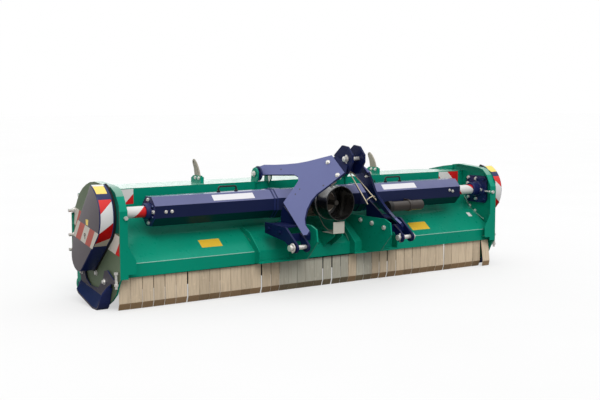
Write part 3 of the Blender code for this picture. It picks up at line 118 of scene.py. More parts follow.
class Nodes:
    """Short calls for the nodes of a material or of the sky."""

    def __init__(self, tree):
        self.tree = tree
        self.coords = self.add("ShaderNodeTexCoord")

    def add(self, kind, values=None, **settings):
        """A new node, with values for its inputs and settings of its own."""
        made = self.tree.nodes.new(kind)
        for key, value in settings.items():
            setattr(made, key, value)
        fill(made, values or {})
        return made

    def link(self, source, target):
        self.tree.links.new(source, target)

    def noise(self, scale, detail=3.0, stretch=(1.0, 1.0, 1.0)):
        """Noise that is fixed to the object."""
        mapping = self.add("ShaderNodeMapping", {"Scale": stretch})
        self.link(self.coords.outputs["Object"], mapping.inputs["Vector"])
        made = self.add("ShaderNodeTexNoise", {"Scale": scale, "Detail": detail})
        self.link(mapping.outputs["Vector"], made.inputs["Vector"])
        return made.outputs["Fac"]

    def span(self, value, low, high, start=0.3, end=0.7):
        """The value's run from start to end, as a run from low to high."""
        ends = {"From Min": start, "From Max": end, "To Min": low, "To Max": high}
        made = self.add("ShaderNodeMapRange", ends)
        self.link(value, made.inputs["Value"])
        return made.outputs["Result"]

    def maths(self, operation, first, second):
        made = self.add("ShaderNodeMath", operation=operation)
        for socket, value in zip(made.inputs, (first, second)):
            if isinstance(value, float):
                socket.default_value = value
            else:
                self.link(value, socket)
        return made.outputs["Value"]

    def mix(self, factor, first, second):
        made = self.add("ShaderNodeMix", data_type="RGBA")
        for socket, value in ((made.inputs[0], factor), (made.inputs[6], first), (made.inputs[7], second)):
            if isinstance(value, tuple):
                socket.default_value = (*value, 1.0)
            elif isinstance(value, float):
                socket.default_value = value
            else:
                self.link(value, socket)
        return made.outputs[2]

    def by_camera(self, others, seen, output):
        """One shader for the camera's rays and another for all others."""
        path = self.add("ShaderNodeLightPath")
        choice = self.add("ShaderNodeMixShader")
        self.link(path.outputs["Is Camera Ray"], choice.inputs[0])
        self.link(others.outputs[0], choice.inputs[1])
        self.link(seen.outputs[0], choice.inputs[2])
        self.link(choice.outputs[0], output.inputs["Surface"])


class Finish(Nodes):
    """A new material and its nodes."""

    def __init__(self, name):
        self.material = bpy.data.materials.new(name)
        self.material.use_nodes = True
        super().__init__(self.material.node_tree)
        self.shader = self.tree.nodes["Principled BSDF"]


def shade(colour, factor):
    """The colour made darker or lighter by a factor."""
    return tuple(min(1.0, c * factor) for c in colour)


DUST = (0.42, 0.38, 0.31)
RUST = (0.3, 0.22, 0.14)


def finish(name, colour, rough, coat=0.0, spread=0.1, grain=45.0, bump=0.1, dust=0.0, metal=0.0,
           shine=0.5, sheen=None):
    """Paint, plating, rubber or plastic with mottled colour, uneven gloss, fine bumps and dust.

    spread is how far the colour varies, grain the scale of the mottling, dust its share on faces
    that look up, and sheen the tint of the reflection.
    """
    made = Finish(name)
    broad = made.noise(2.3, 4.0)
    fine = made.noise(grain, 5.0)
    speck = made.noise(900.0, 2.0)
    tint = made.mix(made.span(broad, 0.0, 1.0), shade(colour, 1.0 - spread), shade(colour, 1.0 + spread))
    tint = made.mix(made.span(fine, 0.0, 0.22, 0.45, 0.75), tint, shade(colour, 1.0 - 1.5 * spread))
    roughness = made.span(fine, max(0.03, rough - 0.05), rough + 0.09)
    if dust:
        up = made.add("ShaderNodeSeparateXYZ")
        made.link(made.coords.outputs["Normal"], up.inputs[0])
        facing_up = made.span(up.outputs["Z"], 0.25, 1.0, -0.2, 0.9)
        lying = made.maths("MULTIPLY", facing_up, made.span(broad, 0.4, 1.0))
        lying = made.maths("MULTIPLY", lying, made.span(fine, dust * 0.5, dust))
        tint = made.mix(lying, tint, DUST)
        roughness = made.maths("ADD", roughness, made.maths("MULTIPLY", lying, 0.4))
    made.link(tint, made.shader.inputs["Base Color"])
    made.link(roughness, made.shader.inputs["Roughness"])
    fill(made.shader, {"Metallic": metal, "Coat Weight": coat, "Coat Roughness": 0.15,
                       "Specular IOR Level": shine})
    if sheen:
        fill(made.shader, {"Specular Tint": (*sheen, 1.0)})
    relief = made.add("ShaderNodeBump", {"Strength": bump, "Distance": 0.0008})
    made.link(made.maths("ADD", fine, made.maths("MULTIPLY", speck, 0.4)), relief.inputs["Height"])
    made.link(relief.outputs["Normal"], made.shader.inputs["Normal"])
    return made


def flap_finish(name, colour, low, high):
    """Galvanised steel flaps with vertical streaks; the mesh's tone tells the flaps apart."""
    made = finish(name, colour, 0.55, 0.0, 0.08, 60.0, 0.25)
    tone = made.add("ShaderNodeAttribute", attribute_name="tone")
    streaks = made.noise(14.0, 5.0, (9.0, 1.0, 0.6))
    base = made.mix(tone.outputs["Fac"], shade(colour, low), shade(colour, high))
    base = made.mix(made.span(streaks, 0.0, 0.45, 0.45, 0.8), base, shade(RUST, low))
    spots = made.noise(38.0, 6.0, (1.0, 1.0, 0.7))
    base = made.mix(made.span(spots, 0.0, 0.5, 0.6, 0.75), base, shade(colour, 1.25))
    made.link(base, made.shader.inputs["Base Color"])
    return made


def striped_finish(name="stripe_tape", pale=(0.68, 0.67, 0.65), red=(0.56, 0.009, 0.01)):
    """Red and white tape; one stripe of each per unit of U plus V."""
    made = finish(name, (0.7, 0.7, 0.7), 0.4, 0.05, 0.04, 70.0, 0.04, shine=0.3)
    split = made.add("ShaderNodeSeparateXYZ")
    made.link(made.coords.outputs["UV"], split.inputs[0])
    turn = made.maths("FRACT", made.maths("ADD", split.outputs["X"], split.outputs["Y"]), 0.0)
    first_half = made.maths("LESS_THAN", turn, 0.5)
    cloud = made.span(made.noise(6.0, 4.0), 0.0, 1.0)
    white = made.mix(cloud, shade(pale, 0.94), shade(pale, 1.05))
    scarlet = made.mix(cloud, shade(red, 0.92), shade(red, 1.08))
    made.link(made.mix(first_half, white, scarlet), made.shader.inputs["Base Color"])
    return made


GREEN = (0.0, 0.23, 0.143)
BLUE = (0.006, 0.014, 0.085)
green = finish("green_paint", GREEN, 0.3, 0.03, 0.07, 25.0, 0.08, 0.02, shine=0.35, sheen=(0.1, 1.0, 0.86))
# Lighter green for faces that look up and for the weld beads: a painted sky highlight.
sky_highlight_green = finish("sky_lit_green_paint", (0.1, 0.29, 0.215), 0.22, 0.3, 0.07, 25.0, 0.05, 0.1)
shade_green = finish("shaded_green_paint", (0.0, 0.12, 0.085), 0.45, 0.0, 0.1, 25.0, 0.08, shine=0.15)
# Pale green for the lip's edge bar: a painted highlight.
edge_green = finish("lit_edge_paint", (0.26, 0.48, 0.4), 0.25, 0.3, 0.1, 25.0, 0.05)
# Dull olive for the end plates' outer faces: painted reflection of the surroundings, with dust.
dull_green = finish("dust_and_reflection_green_paint", (0.125, 0.165, 0.1), 0.5, 0.0, 0.08, 12.0, 0.1, 0.04, shine=0.25)
blue = finish("blue_paint", BLUE, 0.3, 0.12, 0.08, 25.0, 0.08, 0.04, shine=0.3)
wear_blue = finish("worn_blue_paint", (0.003, 0.012, 0.055), 0.4, 0.0, 0.25, 9.0, 0.08, shine=0.04)
clevis_blue = finish("clevis_paint", (0.003, 0.008, 0.052), 0.34, 0.04, 0.08, 25.0, 0.08, 0.02, shine=0.12)
# Grey for the belt covers' outer faces: painted reflection of the surroundings, with dust.
dull_blue = finish("dust_and_reflection_blue_paint", (0.105, 0.09, 0.1), 0.34, 0.15, 0.1, 7.0, 0.1, 0.03, shine=0.35)
# Grey-purple for the skids' side faces: painted reflection of the surroundings.
skid_face = finish("skid_face_paint", (0.055, 0.048, 0.062), 0.38, 0.0, 0.15, 9.0, 0.1, 0.03, shine=0.2)
# Pale lilac for the side plates' upward outer faces: painted sky reflection.
lilac = finish("sunlit_blue_paint", (0.115, 0.13, 0.285), 0.42, 0.05, 0.05, 18.0, 0.06, shine=0.25)
# Pale lilac for the casings' tops: painted sky reflection.
casing_top = finish("casing_top_paint", (0.16, 0.18, 0.33), 0.25, 0.8, 0.05, 15.0, 0.05)
glossy_plastic = finish("glossy_black_plastic", (0.01, 0.01, 0.01), 0.2, 0.3, 0.2, 80.0, 0.08, 0.02,
                        shine=0.6)
# Pale colour so the flange inside the guard's shade reads as lit: painted light.
flange_casting = finish("flange_casting", (0.82, 0.74, 0.62), 0.5, 0.0, 0.25, 70.0, 0.4, 0.05)
pale_plate = finish("pale_plated_plate", (0.62, 0.6, 0.52), 0.42, 0.0, 0.1, 60.0, 0.1, metal=0.3)
# Casing slants: painted sky reflection on the upper one, painted shade on the front and lower ones.
casing_upper = finish("casing_upper_paint", (0.105, 0.115, 0.235), 0.4, 0.1, 0.06, 15.0, 0.06, shine=0.25)
casing_front = finish("casing_front_paint", (0.007, 0.012, 0.05), 0.4, 0.04, 0.1, 15.0, 0.06, shine=0.12)
casing_lower = finish("casing_lower_paint", (0.0, 0.032, 0.034), 0.4, 0.02, 0.1, 15.0, 0.06, shine=0.1)
zinc = finish("zinc_plating", (0.74, 0.72, 0.68), 0.3, 0.0, 0.12, 60.0, 0.15, metal=0.6)
yellow_zinc = finish("yellow_zinc_plating", (0.46, 0.4, 0.29), 0.32, 0.0, 0.2, 30.0, 0.15, metal=0.8)
cable_steel = finish("cable_steel", (0.15, 0.11, 0.09), 0.5, 0.0, 0.15, 90.0, 0.3, metal=0.4)
steel = finish("bare_steel", (0.34, 0.31, 0.25), 0.48, 0.0, 0.15, 50.0, 0.2, metal=0.55)
dark_steel = finish("dark_steel", (0.05, 0.044, 0.038), 0.42, 0.0, 0.15, 50.0, 0.25, 0.1, metal=0.4)
plastic = finish("black_plastic", (0.01, 0.01, 0.01), 0.36, 0.0, 0.2, 80.0, 0.12, 0.03, shine=0.35)
tube_plastic = finish("brown_black_plastic", (0.03, 0.022, 0.018), 0.33, 0.1, 0.2, 30.0, 0.1, 0.04)
rubber = finish("rubber", (0.008, 0.008, 0.008), 0.62, 0.0, 0.15, 90.0, 0.2, shine=0.3)
brown_casting = finish("brown_casting", (0.13, 0.1, 0.075), 0.55, 0.0, 0.25, 70.0, 0.4, 0.15, metal=0.2)
bare_plate = finish("bare_pale_plate", (0.66, 0.65, 0.68), 0.4, 0.1, 0.05, 50.0, 0.05)
yellow_film = finish("plain_yellow_film", (0.84, 0.62, 0.15), 0.42, 0.0, 0.05, 40.0, 0.04, shine=0.3)
deck_film = finish("plain_deck_film", (0.66, 0.42, 0.03), 0.42, 0.0, 0.08, 40.0, 0.04, shine=0.3)
grey_film = finish("plain_grey_film", (0.48, 0.43, 0.34), 0.45, 0.0, 0.05, 40.0, 0.04, shine=0.3)
red_film = finish("plain_red_film", (0.66, 0.03, 0.026), 0.4, 0.05, 0.06, 20.0, 0.04, shine=0.3)
dark_red_film = finish("shaded_red_film", (0.4, 0.002, 0.002), 0.45, 0.0, 0.06, 20.0, 0.04, shine=0.1)
white_film = finish("plain_white_film", (0.68, 0.68, 0.67), 0.4, 0.05, 0.04, 20.0, 0.04, shine=0.3)
flap_steel = flap_finish("galvanised_flap", (0.62, 0.495, 0.35), 0.86, 1.1)
# Feet: darker brown for wear by the ground, and painted shade where the foot turns in and faces down.
foot_steel = flap_finish("worn_and_shaded_flap_foot", (0.24, 0.15, 0.075), 0.8, 1.15)
grey_flap = flap_finish("weathered_flap", (0.475, 0.455, 0.375), 0.88, 1.1)
grey_foot = flap_finish("weathered_and_shaded_foot", (0.15, 0.115, 0.065), 0.8, 1.15)
stripes = striped_finish()
faded_stripes = striped_finish("faded_stripe_tape", (0.58, 0.54, 0.47), (0.46, 0.09, 0.065))
plate_stripes = striped_finish("plate_stripe_tape", (0.72, 0.68, 0.6), (0.66, 0.012, 0.01))
BY_SLOT = {
    "green_paint": green, "blue_paint": blue, "zinc_plate": zinc, "bare_steel": steel,
    "flap_steel": flap_steel, "black_plastic": plastic, "rubber": rubber, "sleeve_white": stripes,
}


# Mesh helpers

def add_drum(shape, start, axis, radius, length, sides):
    """Cylinder from a point along an axis."""
    axis = Vector(axis).normalized()
    turn = axis.to_track_quat("Z", "Y").to_matrix().to_4x4()
    place = Matrix.Translation(Vector(start) + axis * length / 2.0) @ turn
    return bmesh.ops.create_cone(
        shape, cap_ends=True, segments=sides, radius1=radius, radius2=radius, depth=length, matrix=place
    )["verts"]


def add_box(shape, low, high):
    """Box between two corners."""
    low, high = Vector(low), Vector(high)
    size = Matrix.Diagonal((*(high - low), 1.0))
    bmesh.ops.create_cube(shape, size=1.0, matrix=Matrix.Translation((low + high) / 2.0) @ size)


def add_slab(shape, middle, axes, lengths):
    """Box about a point, along three axes of its own."""
    turn = Matrix(axes).transposed().to_4x4()
    size = Matrix.Diagonal((*lengths, 1.0))
    bmesh.ops.create_cube(shape, size=1.0, matrix=Matrix.Translation(middle) @ turn @ size)


def add_turned(shape, profile, start, axis, sides):
    """Closed ring of (along, radius) points turned round an axis."""
    axis = Vector(axis).normalized()
    side = axis.orthogonal().normalized()
    verts = [shape.verts.new(Vector(start) + axis * a + side * r) for a, r in profile]
    edges = [shape.edges.new((verts[i - 1], verts[i])) for i in range(len(verts))]
    bmesh.ops.spin(
        shape, geom=verts + edges, cent=Vector(start), axis=axis, angle=2.0 * pi, steps=sides,
        use_merge=True
    )


def verts_in(geometry):
    """The vertices among what a bmesh call made."""
    return [item for item in geometry if isinstance(item, bmesh.types.BMVert)]


def add_prism(shape, outline, start, end):
    """Outline of (Y, Z) points drawn out along X."""
    base = shape.faces.new([shape.verts.new((start, y, z)) for y, z in outline])
    raised = bmesh.ops.extrude_face_region(shape, geom=[base])["geom"]
    bmesh.ops.translate(shape, verts=verts_in(raised), vec=X_AXIS * (end - start))


def add_bolt(shape, seat, axis, across, tail=0.0, washer=True):
    """Hexagon head or nut with a chamfered top, on a washer; a tail is a stud standing out of a nut."""
    axis = Vector(axis).normalized()
    seat = Vector(seat)
    if washer:
        add_drum(shape, seat - axis * 0.0005, axis, across * 0.7, 0.003, 20)
        seat = seat + axis * 0.0022
    height = across * 0.42
    corner = across / sqrt(3.0)
    head = add_drum(shape, seat, axis, corner, height, 6)
    sides = dict.fromkeys(f for v in head for f in v.link_faces)  # keeps their order, unlike a set
    top = [face for face in sides if face.normal.dot(axis) > 0.9]
    bmesh.ops.bevel(
        shape, geom=[e for f in top for e in f.edges], offset=across * 0.07, segments=1, affect="EDGES",
        profile=0.5, material=-1
    )
    if tail:
        add_drum(shape, seat + axis * height * 0.6, axis, across * 0.32, tail + height * 0.4, 14)


def run_at(points, i):
    """How far, and which way, a path of points runs about one of them."""
    return points[min(i + 1, len(points) - 1)] - points[max(i - 1, 0)]


def circle(point, side, over, reach, count):
    """Points round a point, in the plane of two directions."""
    angles = [2.0 * pi * k / count for k in range(count)]
    return [point + (side * cos(a) + over * sin(a)) * reach for a in angles]


def add_tube(shape, rings):
    """Closed skin through rings that have equal numbers of points."""
    previous = None
    for points in rings:
        ring = [shape.verts.new(p) for p in points]
        if previous:
            for k in range(len(ring)):
                shape.faces.new((previous[k - 1], previous[k], ring[k], ring[k - 1]))
        else:
            shape.faces.new(ring)
        previous = ring
    shape.faces.new(previous)


def add_bead(shape, path, radius):
    """Weld bead: a rough round bar along a path of points."""
    path = [Vector(p) for p in path]
    points = []
    for first, second in zip(path, path[1:]):
        steps = max(2, int((second - first).length / 0.012))
        points += [first.lerp(second, i / steps) for i in range(steps)]
    points.append(path[-1])
    rings = []
    for i, point in enumerate(points):
        along = run_at(points, i).normalized()
        side = along.cross(Vector((0.31, 0.52, 0.79))).normalized()
        reach = radius * (1.0 + chance.uniform(-0.25, 0.25))
        if i in (0, len(points) - 1):
            reach *= 0.4
        rings.append(circle(point, side, along.cross(side), reach, 6))
    add_tube(shape, rings)


def add_wire(shape, points, radius, sides):
    """Round bar along a smooth path."""
    points = [Vector(p) for p in points]
    rings, side = [], None
    for i, point in enumerate(points):
        along = run_at(points, i).normalized()
        side = (along.orthogonal() if side is None else side - along * side.dot(along)).normalized()
        rings.append(circle(point, side, along.cross(side), radius, sides))
    add_tube(shape, rings)


def rounded_path(corners, radius, steps=6):
    """Points along straight legs with rounded corners."""
    corners = [Vector(c) for c in corners]
    points = [corners[0]]
    for before, corner, after in zip(corners, corners[1:], corners[2:]):
        enter = corner + (before - corner).normalized() * radius
        leave = corner + (after - corner).normalized() * radius
        for i in range(steps + 1):
            t = i / steps
            points.append(enter * (1 - t) ** 2 + corner * 2 * t * (1 - t) + leave * t ** 2)
    return points + [corners[-1]]


def both_sides(shape):
    """Adds the mirror image, across the middle of the mower."""
    copied = bmesh.ops.duplicate(shape, geom=shape.verts[:] + shape.edges[:] + shape.faces[:])["geom"]
    faces = [item for item in copied if isinstance(item, bmesh.types.BMFace)]
    bmesh.ops.scale(shape, verts=verts_in(copied), vec=MIRROR)
    bmesh.ops.reverse_faces(shape, faces=faces)


def piece(name, shape, made_of, body="frame", stands_for=(), bevel=0.0, smooth=32.0,
          moved=True):
    """Makes an object of the mesh, gives it its finish and hangs it on its body."""
    if moved:
        bmesh.ops.translate(shape, verts=shape.verts, vec=SHIFT)
    bmesh.ops.recalc_face_normals(shape, faces=shape.faces)
    mesh = bpy.data.meshes.new(name)
    shape.to_mesh(mesh)
    shape.free()
    for one in made_of if isinstance(made_of, list) else [made_of]:
        mesh.materials.append(one.material)
    mesh.shade_smooth()
    mesh.set_sharp_from_angle(angle=radians(smooth))
    made = add_object(name, mesh)
    if bevel:
        edge = made.modifiers.new("edge", "BEVEL")
        edge.width = bevel
        edge.segments = 2
        edge.limit_method = "ANGLE"
        edge.angle_limit = radians(40.0)
        edge.harden_normals = True
    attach(made, body)
    for node in stands_for:
        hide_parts(node)
    return made


def bolt_piece(name, bolts, mirrored=True):
    """One piece of plated bolts, each given as add_bolt takes it."""
    shape = bmesh.new()
    for bolt in bolts:
        add_bolt(shape, *bolt)
    if mirrored:
        both_sides(shape)
    piece(name, shape, zinc)


def rounded(node, name, made_of, bevel, choose=None, smooth=32.0):
    """The node's own shape with its seams merged and its edges broken."""
    shape = bmesh.new()
    shape.from_mesh(nodes[node].data)
    bmesh.ops.remove_doubles(shape, verts=shape.verts, dist=0.00002)
    bmesh.ops.dissolve_limit(shape, angle_limit=radians(0.4), verts=shape.verts, edges=shape.edges)
    bmesh.ops.recalc_face_normals(shape, faces=shape.faces)
    for face in shape.faces:
        face.material_index = choose(face) if choose else 0
    slot = nodes[node].data.materials[0].name.split(".")[0]
    made_of = made_of or BY_SLOT[slot]
    return piece(name, shape, made_of, nodes[node]["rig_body"], [node], bevel, smooth, False)


# Flaps

FLAP_GROUPS = (6, 7, 7, 1, 7, 7, 6)
FLAP_BREAKS = (-1.0, -0.6933, -0.3367, -0.0133, 0.0367, 0.356, 0.7093, 1.0)
HALF_WIDTH = 1.5
LAST_FLAP_LEAN = -0.15
GREY_FLAPS = {(3, 3), (3, 4), (3, 5), (3, 6), (3, 7), (4, 1), (5, 1), (5, 2), (5, 4), (5, 5)}
ROD = Vector((0.0, 0.02, 0.262))  # a point on the rod that the flaps hang on
FLAP_SHEET = 0.005
GROUP_MARGIN = 0.0038  # kept free on both sides of a break between groups
FOOT_HEIGHT = 0.049  # below this a flap gets the dark foot finish: wear by the ground, and painted shade of the inturned foot


def add_flap(shape, left, right, tone, lean):
    """One hinged flap: eye, straight sheet, and a foot bent inwards."""
    layer = shape.verts.layers.float.get("tone") or shape.verts.layers.float.new("tone")
    before = set(shape.verts)
    half = FLAP_SHEET / 2.0
    path = [Vector(p) for p in ((0.02, 0.252), (0.02, 0.056), (0.0204, 0.051), (0.0217, 0.046),
                                (0.025, 0.037), (0.034, 0.012))]
    near, far = [], []
    for i, point in enumerate(path):
        ahead = run_at(path, i)
        side = Vector((ahead.y, -ahead.x)).normalized() * half
        near.append(point + side)
        far.append(point - side)
    add_prism(shape, near + far[::-1], left, right)
    middle, reach = (left + right) / 2.0, (right - left) * 0.3
    ring = ((-reach, 0.0064), (reach, 0.0064), (reach, 0.0104), (-reach, 0.0104))
    add_turned(shape, ring, (middle, ROD.y, ROD.z), X_AXIS, 18)
    fresh = [v for v in shape.verts if v not in before]
    bmesh.ops.rotate(shape, verts=fresh, cent=ROD, matrix=Matrix.Rotation(lean, 3, "X"))
    for vert in fresh:
        vert[layer] = tone


def make_flaps():
    """One piece for each group of flaps, with their tones, small leans and gaps."""
    for group, count in enumerate(FLAP_GROUPS, 1):
        start = FLAP_BREAKS[group - 1] * HALF_WIDTH + GROUP_MARGIN
        pitch = (FLAP_BREAKS[group] * HALF_WIDTH - GROUP_MARGIN - start) / count
        shape = bmesh.new()
        for i in range(1, count + 1):
            left, right = start + (i - 1) * pitch, start + i * pitch
            gap = 0.0022 if chance.random() < 0.35 else 0.0008
            known = set(shape.faces)
            left += gap if i > 1 else 0.001
            right -= gap if i < count else 0.001
            tone = chance.random()
            add_flap(shape, left, right, tone,
                     LAST_FLAP_LEAN if (group, i) == (7, 6) else chance.gauss(0.0, 0.0045))
            for face in shape.faces:
                if face not in known:
                    low = face.calc_center_median().z < FOOT_HEIGHT
                    face.material_index = (2 if (group, i) in GREY_FLAPS else 0) + (1 if low else 0)
        piece(f"hinged_flaps_{group}", shape, [flap_steel, foot_steel, grey_flap, grey_foot],
              f"flaps_{group}", [f"flap_group_{group}"], 0.0008, 30.0)


# Belt covers

ARC_Y, ARC_Z, ARC_R = 0.19, 0.57, 0.195
TIP_Y, TIP_Z, TIP_R = 0.33, 0.312, 0.096
COVER_BASE, COVER_FACE = 1.5276, 1.62
RIM_EDGE = 1.6135  # outer edge of the rims' films
FILM_LIFT, FILM_THICKNESS = 0.0003, 0.0004


def arc(y, z, radius, start, end, steps):
    """Points on an arc round (y, z), by angles in degrees."""
    angles = [radians(start + (end - start) * i / steps) for i in range(steps + 1)]
    return [(y + radius * cos(a), z + radius * sin(a)) for a in angles]


def cover_outline():
    """Round front, straight underside, rounded low tip and straight back of a belt cover."""
    front = arc(ARC_Y, ARC_Z, ARC_R, 110.0, 222.0, 44)
    tip = arc(TIP_Y, TIP_Z, TIP_R, -118.0, 32.0, 26)
    rear = [(0.3975, 0.42), (0.396, 0.428), (0.391, 0.4345)]
    return front + tip + rear


def rim_point(distance):
    """A point just off the cover's rim, by the distance along it from the top of its round front."""
    front = ARC_R * radians(112.0)
    if distance <= front:
        angle = radians(110.0) + distance / ARC_R
        reach = ARC_R + FILM_LIFT
        return ARC_Y + reach * cos(angle), ARC_Z + reach * sin(angle)
    first = Vector(arc(ARC_Y, ARC_Z, ARC_R + FILM_LIFT, 222.0, 222.0, 1)[0])
    last = Vector(arc(TIP_Y, TIP_Z, TIP_R + FILM_LIFT, -118.0, -118.0, 1)[0])
    point = first + (last - first).normalized() * (distance - front)
    return point.x, point.y


def add_film(shape, rows, across, uv=None):
    """A thin film from a grid of points; UV comes from a function of the point."""
    layer = shape.loops.layers.uv.verify()
    grid = [[shape.verts.new(p) for p in row] for row in rows]
    faces = []
    for low, high in zip(grid, grid[1:]):
        for i in range(len(low) - 1):
            faces.append(shape.faces.new((low[i], low[i + 1], high[i + 1], high[i])))
    raised = bmesh.ops.extrude_face_region(shape, geom=faces, use_keep_orig=True)["geom"]
    for vert in verts_in(raised):
        vert.co += Vector(across(vert.co)) * FILM_THICKNESS
    for face in shape.faces:
        for loop in face.loops:
            if uv:
                loop[layer].uv = uv(loop.vert.co)


def rim_film(name, top, low, made_of, inner=1.535):
    """A film on both covers' rims; each end is given by its distance at the outer and inner edge."""
    shape = bmesh.new()
    columns, rows = 6, 14
    grid = []
    for r in range(rows + 1):
        line = []
        for c in range(columns + 1):
            share = c / columns
            start = top[0] + (top[1] - top[0]) * share
            end = low[0] + (low[1] - low[0]) * share
            y, z = rim_point(start + (end - start) * r / rows)
            line.append((-(RIM_EDGE + (inner - RIM_EDGE) * share), y, z))
        grid.append(line)
    add_film(shape, grid, lambda p: (0.0, *(Vector((p.y - 0.21, p.z - 0.52)).normalized())))
    both_sides(shape)
    piece(name, shape, made_of)


def flat_film(name, corners, at, made_of, pitch=None, lean=1.0, phase=0.0, mirrored=True, facing="X"):
    """A film with straight edges on a flat face; the stripes lean by their rise over their run."""
    shape = bmesh.new()
    on_side = facing == "X"
    a, b, c, d = [Vector((at, u, v) if on_side else (u, at, v)) for u, v in corners]
    grid = [[a.lerp(b, i / 6.0) for i in range(7)], [d.lerp(c, i / 6.0) for i in range(7)]]

    def uv(p):
        return (((p.y if on_side else p.x) - phase) / pitch, p.z * lean / pitch)

    add_film(shape, grid, lambda p: -X_AXIS if on_side else -Y_AXIS, uv if pitch else None)
    if mirrored:
        both_sides(shape)
    piece(name, shape, made_of)


def make_cover(side, tag):
    """Belt cover with a smooth rim and a rounded outer edge, and the latch on its face."""
    shape = bmesh.new()
    add_prism(shape, cover_outline(), -COVER_BASE, -COVER_FACE)
    bmesh.ops.recalc_face_normals(shape, faces=shape.faces)
    outer = [f for f in shape.faces if f.normal.x < -0.9]
    bmesh.ops.bevel(shape, geom=outer[0].edges[:], offset=0.006, segments=4, affect="EDGES", profile=0.5,
                    material=-1)
    # The outer face takes the grey painted reflection.
    for face in shape.faces:
        face.material_index = 1 if face.normal.x < -0.9 else 0
    if side > 0:
        bmesh.ops.scale(shape, verts=shape.verts, vec=MIRROR)
    node = f"belt_cover_{tag}"
    piece(f"pressed_cover_{tag}", shape, [blue, dull_blue], "frame", [node], 0.0, 25.0)
    shape = bmesh.new()
    y, z = 0.212, 0.452
    add_turned(shape, ((-0.0004, 0.006), (0.002, 0.006), (0.002, 0.011), (-0.0004, 0.011)),
               (side * COVER_FACE, y, z), X_AXIS * side, 20)
    add_box(shape, (side * COVER_FACE - 0.001, y - 0.004, z - 0.026),
            (side * COVER_FACE + 0.0025, y + 0.004, z - 0.012))
    piece(f"cover_latch_{tag}", shape, dark_steel, bevel=0.0005)


def make_rim_films():
    """Stripes and plain films on the covers' rims, and the band and mark on their faces."""
    rim_film("rim_film_white_top", (0.0, 0.002), (0.02, 0.022), white_film, 1.54)
    rim_film("rim_film_yellow", (0.0205, 0.0225), (0.089, 0.09), yellow_film, 1.546)
    rim_film("rim_film_red_top", (0.13, 0.13), (0.216, 0.142), red_film)
    rim_film("rim_film_white", (0.2165, 0.1425), (0.334, 0.27), white_film)
    rim_film("rim_film_red_low", (0.3345, 0.2705), (0.424, 0.376), dark_red_film)
    rim_film("rim_film_grey", (0.4245, 0.3765), (0.452, 0.452), grey_film)
    flat_film("cover_mark", [(0.196, 0.546), (0.158, 0.546), (0.163, 0.512), (0.193, 0.514)],
              -COVER_FACE, yellow_film, mirrored=False)
    flat_film("cover_band", [(0.393, 0.432), (0.312, 0.531), (0.016, 0.477), (0.108, 0.378)],
              -COVER_FACE, faded_stripes, 0.158, 0.7576, 0.4345 - 0.158)


# End plates

def plate_part(face):
    """Plated bolt ends, upward flange faces with a painted sky highlight, and the outer face of an end plate
    in dull olive: painted reflection of the surroundings, with dust.
    """
    across = face.calc_center_median().x
    if abs(across) > 1.5285:
        return 2
    if face.normal.z > 0.55:
        return 3
    outward = face.normal.x if across > 0.0 else -face.normal.x
    return 1 if abs(across) > 1.51 and outward > 0.9 else 0


def make_end_plates():
    """End plates, the rear hood's ears and rod, the right plate's crest, painted shade and bands."""
    for tag in ("left", "right"):
        rounded(f"end_plate_{tag}", f"painted_end_plate_{tag}", [green, dull_green, zinc, sky_highlight_green], 0.0015,
                plate_part)
    shape = bmesh.new()
    ear = [(0.505, 0.56), (0.5, 0.672), (0.54, 0.664), (0.6, 0.663)]
    ear += [(HOOD_Y + 0.013 * cos(a), HOOD_Z + 0.013 * sin(a)) for a in (0.9, 0.5, 0.1, -0.3, -0.7, -1.1)]
    ear += [(0.585, 0.628), (0.555, 0.56)]
    add_prism(shape, ear, -1.494, -1.484)
    add_box(shape, (-1.5035, 0.505, 0.6), (-1.4935, 0.545, 0.66))
    both_sides(shape)
    piece("hood_hinge_ears", shape, green, bevel=0.001)
    shape = bmesh.new()
    add_drum(shape, (-1.4945, HOOD_Y, HOOD_Z), X_AXIS, 0.01, 2.989, 20)
    piece("hood_hinge_rod", shape, zinc, "frame", ["hood_rod"], 0.0008, 32.0)
    shape = bmesh.new()
    crest = [(0.4, 0.702), (0.4, 0.742), (0.44, 0.7375), (0.498, 0.73), (0.59, 0.713)]
    crest += [(0.672, 0.697), (0.672, 0.69), (0.552, 0.69), (0.552, 0.702)]
    add_prism(shape, crest, 1.492, 1.5035)
    piece("right_end_crest", shape, green, bevel=0.001)
    # Dark green films on the front strip of the end plates' outer faces: painted shade.
    for tag, corners in (("low", [(-0.04, 0.476), (-0.04, 0.64), (0.08, 0.64), (0.08, 0.476)]),
                         ("top", [(-0.038, 0.64), (0.008, 0.71), (0.08, 0.745), (0.08, 0.64)])):
        flat_film(f"plate_front_painted_shade_{tag}", corners, -1.5151, shade_green)
    flat_film("plate_band_front", [(0.125, 0.369), (0.02, 0.471), (-0.04, 0.46), (-0.034, 0.342)],
              PLATE_SIDE, plate_stripes, 0.24, 0.797, 0.1776)
    flat_film("plate_band_rear", [(0.629, 0.468), (0.6, 0.576), (0.345, 0.524), (0.42, 0.424)],
              PLATE_SIDE, faded_stripes, 0.24, 0.633, 0.7765)
    flat_film("strip_film", [(0.6375, 0.466), (0.6375, 0.539), (0.6305, 0.539), (0.6305, 0.466)],
              -1.5272, grey_film)


# Sleeves and casings

